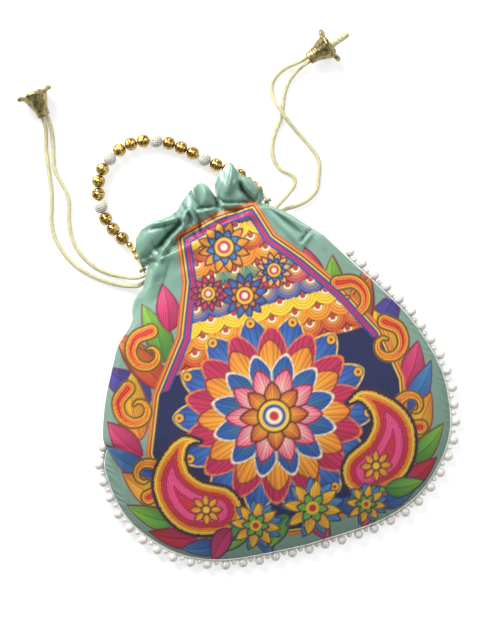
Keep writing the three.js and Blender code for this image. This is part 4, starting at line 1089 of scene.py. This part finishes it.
# Each cap's neck, the way it points, and how far inside it the knot starts
CAPS = {"left": ((-94.9, 231.6, 6.4), (-0.149, 0.989), 9.5),
        "right": ((80.8, 224.8, 6.4), (0.955, 0.296), 13.5)}
CAP_TILT = math.radians(11)
CAP_PETALS, CAP_LENGTH, CAP_NECK_RADIUS, CAP_FLARE, CAP_WALL = 4, 15.2, 3.9, 4.7, 0.5
LOWEST_BRASS = 0.8
KNOT_RADIUS, STUB_RADIUS, KNOT_LENGTH, STUB_LENGTH = 3.4, 2.55, 7.0, 17.0


def cap_axis(direction):
    level = np.array([*direction, 0.0]) / np.hypot(*direction)
    return level * math.cos(CAP_TILT) + np.array([0, 0, math.sin(CAP_TILT)])


def end_cap(name):
    """A bell of four broad petals, each with a lip that curls outwards."""
    neck, direction, _ = CAPS[name]
    axis = cap_axis(direction)
    columns = 144
    angle = full_turn(columns)
    petal = np.cos(CAP_PETALS * angle)[None]
    lobe = np.tanh(2.0 * petal + 1.1) / math.tanh(3.1)
    t = np.linspace(0, 1, 30)[:, None]
    collars = 0.35 * hump(t - 0.06, 0.03) + 0.3 * hump(t - 0.16, 0.03)
    rings = 0.12 * np.cos(2 * np.pi * t * 9) * smooth(t, 0.12, 0.2) * (1 - smooth(t, 0.5, 0.62))
    rib = hump(np.mod(angle + np.pi / 4, np.pi / 2) - np.pi / 4, 0.09)[None]
    veins = (1 - np.abs(np.sin(10 * angle))[None]) ** 3
    radius = CAP_NECK_RADIUS + CAP_FLARE * t ** 1.7 + 0.15 * lobe * t ** 3 + collars + rings
    radius = radius + 0.45 * rib * smooth(t, 0.3, 0.6) - 0.3 * veins * smooth(t, 0.5, 0.7)
    height = t * (CAP_LENGTH + 0.55 * lobe * t ** 3)
    roll = 0.85 + 0.35 * np.clip(lobe, 0, 1)
    turn = np.radians(np.linspace(180, -50, 13))[1:, None]
    lip_radius = radius[-1:] + roll * (1 + np.cos(turn))
    lip_height = height[-1:] + roll * np.sin(turn)
    radius, height = np.vstack([radius, lip_radius]), np.vstack([height, lip_height])
    points = revolved(radius, height, angle, neck, axis)
    points[..., 2] = np.maximum(points[..., 2], LOWEST_BRASS)
    obj = mesh_from(f"{name}_bell", points.reshape(-1, 3), grid_quads(len(radius), columns, True), BRASS)
    obj.data.flip_normals()
    wall = obj.modifiers.new("wall", "SOLIDIFY")
    wall.thickness = CAP_WALL * MM
    wall.offset = -1
    return dress(obj, "antique_brass", f"{name}_cap", f"{name}_end_cap")


def knot(name, stub):
    neck, direction, place = CAPS[name]
    axis = cap_axis(direction)
    base = np.array(neck) + axis * place
    t = np.linspace(0, 1, 40)
    length = STUB_LENGTH if stub else KNOT_LENGTH
    h = t * length
    ball = KNOT_RADIUS * np.sqrt(np.clip(1 - ((h - KNOT_LENGTH / 2) / 3.6) ** 2, 0, 1))
    tip = np.clip((h - length + 2.0) / 2.0, 0, 1)
    shaft = np.where(h > KNOT_LENGTH / 2, STUB_RADIUS * np.sqrt(1 - tip ** 2), 0)
    radius = np.maximum(ball, shaft) if stub else ball
    points, quads = lathe(np.stack([np.maximum(radius, 0.02), h], 1), 36, base, axis,
                          lambda a, z: 1 + 0.07 * np.sin(2 * a + z * 2.4) + 0.03 * np.sin(7 * a - z * 3))
    obj = mesh_from(f"{name}_tied_end", points, quads, CORD_END)
    return dress(obj, "cream_cord", "pouch", f"{name}_knot")


def strand(key):
    name, place, _ = key.split("_")
    neck, direction, knot_place = CAPS[name]
    axis = cap_axis(direction)
    side = -1 if place == "back" else 1
    across = np.array([axis[1], -axis[0], 0.0])
    across *= side * 1.55 / np.linalg.norm(across)
    in_cap = [np.array(neck) + axis * d + across for d in (-4, 0.5, knot_place - 0.3)]
    points = catmull([*STRANDS[key], *in_cap], 24)
    obj, line = tube(f"{key}_cord", points, CORD_RADIUS, 18, 0.55, CORD, 0.02)
    dress(obj, "cream_cord", "pouch", key)


# Pearl edging
def sphere(centre, radius, around, down):
    phi = np.linspace(0, np.pi, down + 1)
    profile = np.stack([radius * np.sin(phi) + 1e-4, -radius * np.cos(phi)], 1)
    return lathe(profile, around, centre, (0, 0, 1))


def joined(parts):
    verts, quads, start = [], [], 0
    for v, q in parts:
        verts.append(v)
        quads.append(q + start)
        start += len(v)
    return np.vstack(verts), np.vstack(quads)


# Pearls along the seam: how far apart, and each kind's radius and distance from the seam
PEARL_PITCH = 11.0
BIG_PEARL, SMALL_PEARL = (3.1, 3.6), (1.65, 2.3)
THREAD_OFFSET, THREAD_TWIST = 1.1, 3.4


def pearl_trim():
    left, right = 0.9 * TABLES[-1]["length"], 0.95 * TABLES[1]["length"]
    count = int((left + right) // PEARL_PITCH)
    first = -left + (left + right - count * PEARL_PITCH) / 2

    def place(distance, offset):
        side = -1 if distance < 0 else 1
        return seam_point(side, abs(distance) / TABLES[side]["length"], offset)

    parts, thread = [], []
    local = np.random.default_rng(11)
    for k in range(count + 1):
        d = first + k * PEARL_PITCH
        wander = local.uniform(-0.35, 0.35, 3)
        parts.append(sphere(place(d, BIG_PEARL[1]) + wander, BIG_PEARL[0], 26, 16))
        thread.append(place(d, THREAD_OFFSET))
        if k == count:
            continue
        d += PEARL_PITCH / 2
        parts.append(sphere(place(d, SMALL_PEARL[1]) + 0.4 * wander, SMALL_PEARL[0], 18, 10))
        thread.append(place(d, THREAD_OFFSET))
    verts, quads = joined(parts)
    obj = mesh_from("pearls", verts, quads, PEARL)
    dress(obj, "pearl", "pouch", "pearl_trim")
    line = catmull(thread, 10)
    braid = []
    for strand_phase in (0, math.pi):
        dense, places = resample(line, 0.5)
        a, b = frames(dense)
        turn = places * 2 * math.pi / THREAD_TWIST + strand_phase
        braid.append(dense + 0.33 * (a * np.cos(turn)[:, None] + b * np.sin(turn)[:, None]))
    for k, points in enumerate(braid):
        cord, _ = tube(f"edge_thread_{k}", points, 0.42, 6, 0.8, THREAD)
        dress(cord, "pearl", "pouch")


# Beaded handle
# Each bead's radius, length, points round it and along it, and how full its ends are
BEADS = {"small_gold_bead": (2.4, 4.5, 28, 16, 0.8), "gold_bead": (4.2, 8.0, 56, 30, 0.72),
         "white_bead": (4.4, 8.2, 132, 54, 0.85)}
PIVOT = (45.66, 6.0, 12.0)
EYE_RADIUS, WIRE_RADIUS = 2.1, 0.6
SHANK_HEIGHTS = [0, 0.2, 1.0, 1.8, 3.2, 3.8, 4.3, 4.8]
SHANK_RADII = [1.0, 1.2, 1.15, 1.0, 1.0, 1.15, 1.2, 0.8]
LYING_BEAD = 4.6
BEAD_GAP = 0.4
HANDLE = [(-1, 8.1, 12), (-1, 12.5, 8.6), (-0.985, 17, 5.6), (-0.99, 22, LYING_BEAD),
          (-1.04, 29, LYING_BEAD), (-1.115, 40, LYING_BEAD), (-1.13, 50, LYING_BEAD),
          (-1.08, 60, LYING_BEAD), (-0.96, 71, LYING_BEAD), (-0.74, 79, LYING_BEAD),
          (-0.45, 82.3, LYING_BEAD), (-0.17, 80.7, LYING_BEAD), (0.07, 75, LYING_BEAD),
          (0.27, 66, LYING_BEAD), (0.45, 54.5, LYING_BEAD), (0.62, 43.2, LYING_BEAD),
          (0.79, 33.5, LYING_BEAD), (0.92, 25, LYING_BEAD), (0.985, 18, 5.8), (1, 12.5, 8.8),
          (1, 8.1, 12)]


def hammered(a, z):
    facets = np.cos(4 * a + 1.3 * z) * np.cos(4 * a - 1.3 * z)
    dents = 0.97 + 0.075 * facets + 0.04 * np.sin(9 * a + 3 * np.sin(2.3 * z))
    return dents + 0.015 * np.sin(15 * a - 3.1 * z)


def beaded_rows(a, z):
    return 0.9 + 0.14 * np.abs(np.sin(11 * a)) ** 0.7 * np.abs(np.sin(2.9 * z)) ** 0.7


def handle():
    line = catmull([from_neck(x * PIVOT[0], y, z) for x, y, z in HANDLE], 60)
    lengths = np.r_[0, np.cumsum(np.linalg.norm(np.diff(line, axis=0), axis=1))]
    total = lengths[-1]

    def at(d):
        return np.array([np.interp(d, lengths, line[:, k]) for k in range(3)])

    group = ["gold_bead"] * 3 + ["white_bead"]
    order = ["small_gold_bead"] * 3 + group * 4 + ["gold_bead"] * 3 + ["small_gold_bead"] * 3
    strung = sum(BEADS[k][1] + BEAD_GAP for k in order) - BEAD_GAP
    distance = (total - strung) / 2
    counts = {}
    for kind in order:
        radius, length, around, down, fullness = BEADS[kind]
        back, front = at(distance), at(distance + length)
        distance += length + BEAD_GAP
        counts[kind] = counts.get(kind, 0) + 1
        t = np.linspace(0, np.pi, down)
        body = np.maximum(radius * np.sin(t) ** fullness, 0.75)
        profile = np.stack([body, -np.cos(t) * length / 2], 1)
        wobble = {"gold_bead": hammered, "white_bead": beaded_rows}.get(kind)
        points, quads = lathe(profile, around, (back + front) / 2, front - back, wobble)
        relief = np.ones((down, around))
        if wobble:
            relief = wobble(full_turn(around)[None], profile[:, 1:2])
            relief = (relief - relief.min()) / (relief.max() - relief.min())
        node = f"{kind}_{counts[kind]}"
        material = SUGAR if kind == "white_bead" else GOLD
        obj = mesh_from(f"{node}_look", points, quads, material, floats={"relief": relief})
        dress(obj, "pearl" if kind == "white_bead" else "gold", "handle", node)
    wire, _ = tube("wire", line, WIRE_RADIUS, 10, 1.0, WIRE)
    dress(wire, "gold", "handle", "handle_wire")
    for side in (-1, 1):
        name = side_name(side)
        turn = full_turn(40)
        reach, rise = EYE_RADIUS * np.cos(turn), EYE_RADIUS * np.sin(turn)
        loop = from_neck(np.full(40, side * PIVOT[0]), PIVOT[1] + reach, PIVOT[2] + rise)
        eye, _ = tube(f"eye_{name}", np.vstack([loop, loop[:2]]), WIRE_RADIUS, 10, 0.5, WIRE)
        dress(eye, "gold", "handle")
        start = channel_half(PIVOT[1]) + GATHER_DEPTH + WALL / 2
        c, s = math.cos(NECK_LEAN), math.sin(NECK_LEAN)
        h = np.linspace(0, SHANK_HEIGHTS[-1], 40)
        radius = np.interp(h, SHANK_HEIGHTS, SHANK_RADII)
        profile = np.vstack([[0.02, 0], np.stack([radius, h], 1), [0.02, 4.85]])
        foot = from_neck(side * start, PIVOT[1], PIVOT[2])
        points, quads = lathe(profile, 24, foot, (side * c, side * s, 0),
                              lambda a, z: 1 + 0.05 * np.cos(3 * a + z * 7))
        shank = mesh_from(f"{name}_stitched_shank", points, quads, MINT_THREAD)
        dress(shank, "cream_cord", "pouch", f"{name}_handle_tack")


# Floor and light
FLOOR_HALF, FLOOR_DROP = 3.0, 0.0006
FLOOR_DARK, FLOOR_LIGHT = (0.82, 0.82, 0.82), (0.86, 0.86, 0.86)
# Each lamp's place and size in metres and its power in watts, and the point that they face
LAMPS = {"key": ((-0.3, 1.0, 0.62), 0.6, 19.0), "fill": ((0.9, 0.1, 0.9), 0.5, 4.0)}
LAMP_TARGET = Vector((0, 0.05, 0))


def stage():
    mesh = bpy.data.meshes.new("floor")
    sides = ((-1, -1), (1, -1), (1, 1), (-1, 1))
    corners = [(x * FLOOR_HALF, y * FLOOR_HALF, -FLOOR_DROP) for x, y in sides]
    mesh.from_pydata(corners, [], [(0, 1, 2, 3)])
    material, tree, shader = node_material("floor", Roughness=0.9)
    tone = noise(tree, object_coords(tree), 3.0, 2)
    tree.links.new(ramp(tree, tone, [(0.3, FLOOR_DARK), (0.7, FLOOR_LIGHT)]), shader.inputs["Base Color"])
    seen = tree.nodes.new("ShaderNodeLightPath").outputs
    plain = math_node(tree, "MAXIMUM", seen["Is Camera Ray"],
                      math_node(tree, "MAXIMUM", seen["Is Glossy Ray"], seen["Is Transmission Ray"]))
    glow = add(tree, "ShaderNodeEmission", Strength=0.66)
    dim = add(tree, "ShaderNodeBsdfDiffuse")
    dim.inputs["Color"].default_value = (0.5, 0.5, 0.5, 1)
    white = tree.nodes.new("ShaderNodeAddShader")
    tree.links.new(glow.outputs[0], white.inputs[0])
    tree.links.new(dim.outputs[0], white.inputs[1])
    mixer = tree.nodes.new("ShaderNodeMixShader")
    tree.links.new(plain, mixer.inputs[0])
    tree.links.new(shader.outputs[0], mixer.inputs[1])
    tree.links.new(white.outputs[0], mixer.inputs[2])
    tree.links.new(mixer.outputs[0], tree.nodes["Material Output"].inputs["Surface"])
    floor = link("floor", mesh, material)

    world = bpy.data.worlds.new("world")
    world.use_nodes = True
    scene.world = world
    tree = world.node_tree
    background = tree.nodes["Background"]
    coords = tree.nodes.new("ShaderNodeTexCoord").outputs["Generated"]
    parts = tree.nodes.new("ShaderNodeSeparateXYZ")
    tree.links.new(coords, parts.inputs[0])
    height = math_node(tree, "MULTIPLY_ADD", parts.outputs[2], 0.5, 0.5)
    sky = ramp(tree, height, [(0.0, (0.6, 0.6, 0.6)), (0.5, (0.5, 0.5, 0.51)), (0.62, (0.12, 0.12, 0.13)),
                              (0.8, (0.3, 0.3, 0.31)), (1.0, (0.5, 0.5, 0.51))])
    tree.links.new(sky, background.inputs["Color"])
    background.inputs["Strength"].default_value = 1.0

    for name, (place, size, power) in LAMPS.items():
        data = bpy.data.lights.new(name, "AREA")
        data.size = size
        data.energy = power
        light = bpy.data.objects.new(name, data)
        light.location = place
        light.rotation_mode = "QUATERNION"
        light.rotation_quaternion = (LAMP_TARGET - Vector(place)).to_track_quat("-Z", "Y")
        scene.collection.objects.link(light)


ends = {name: [end_cap(name), knot(name, name == "right")] for name in CAPS}
for key in STRANDS:
    strand(key)
front_cloth()
back_cloth()
lining("front_lining", front_point, 1)
lining("back_lining", back_point, -1)
channel_parts()
pearl_trim()
handle()
stage()
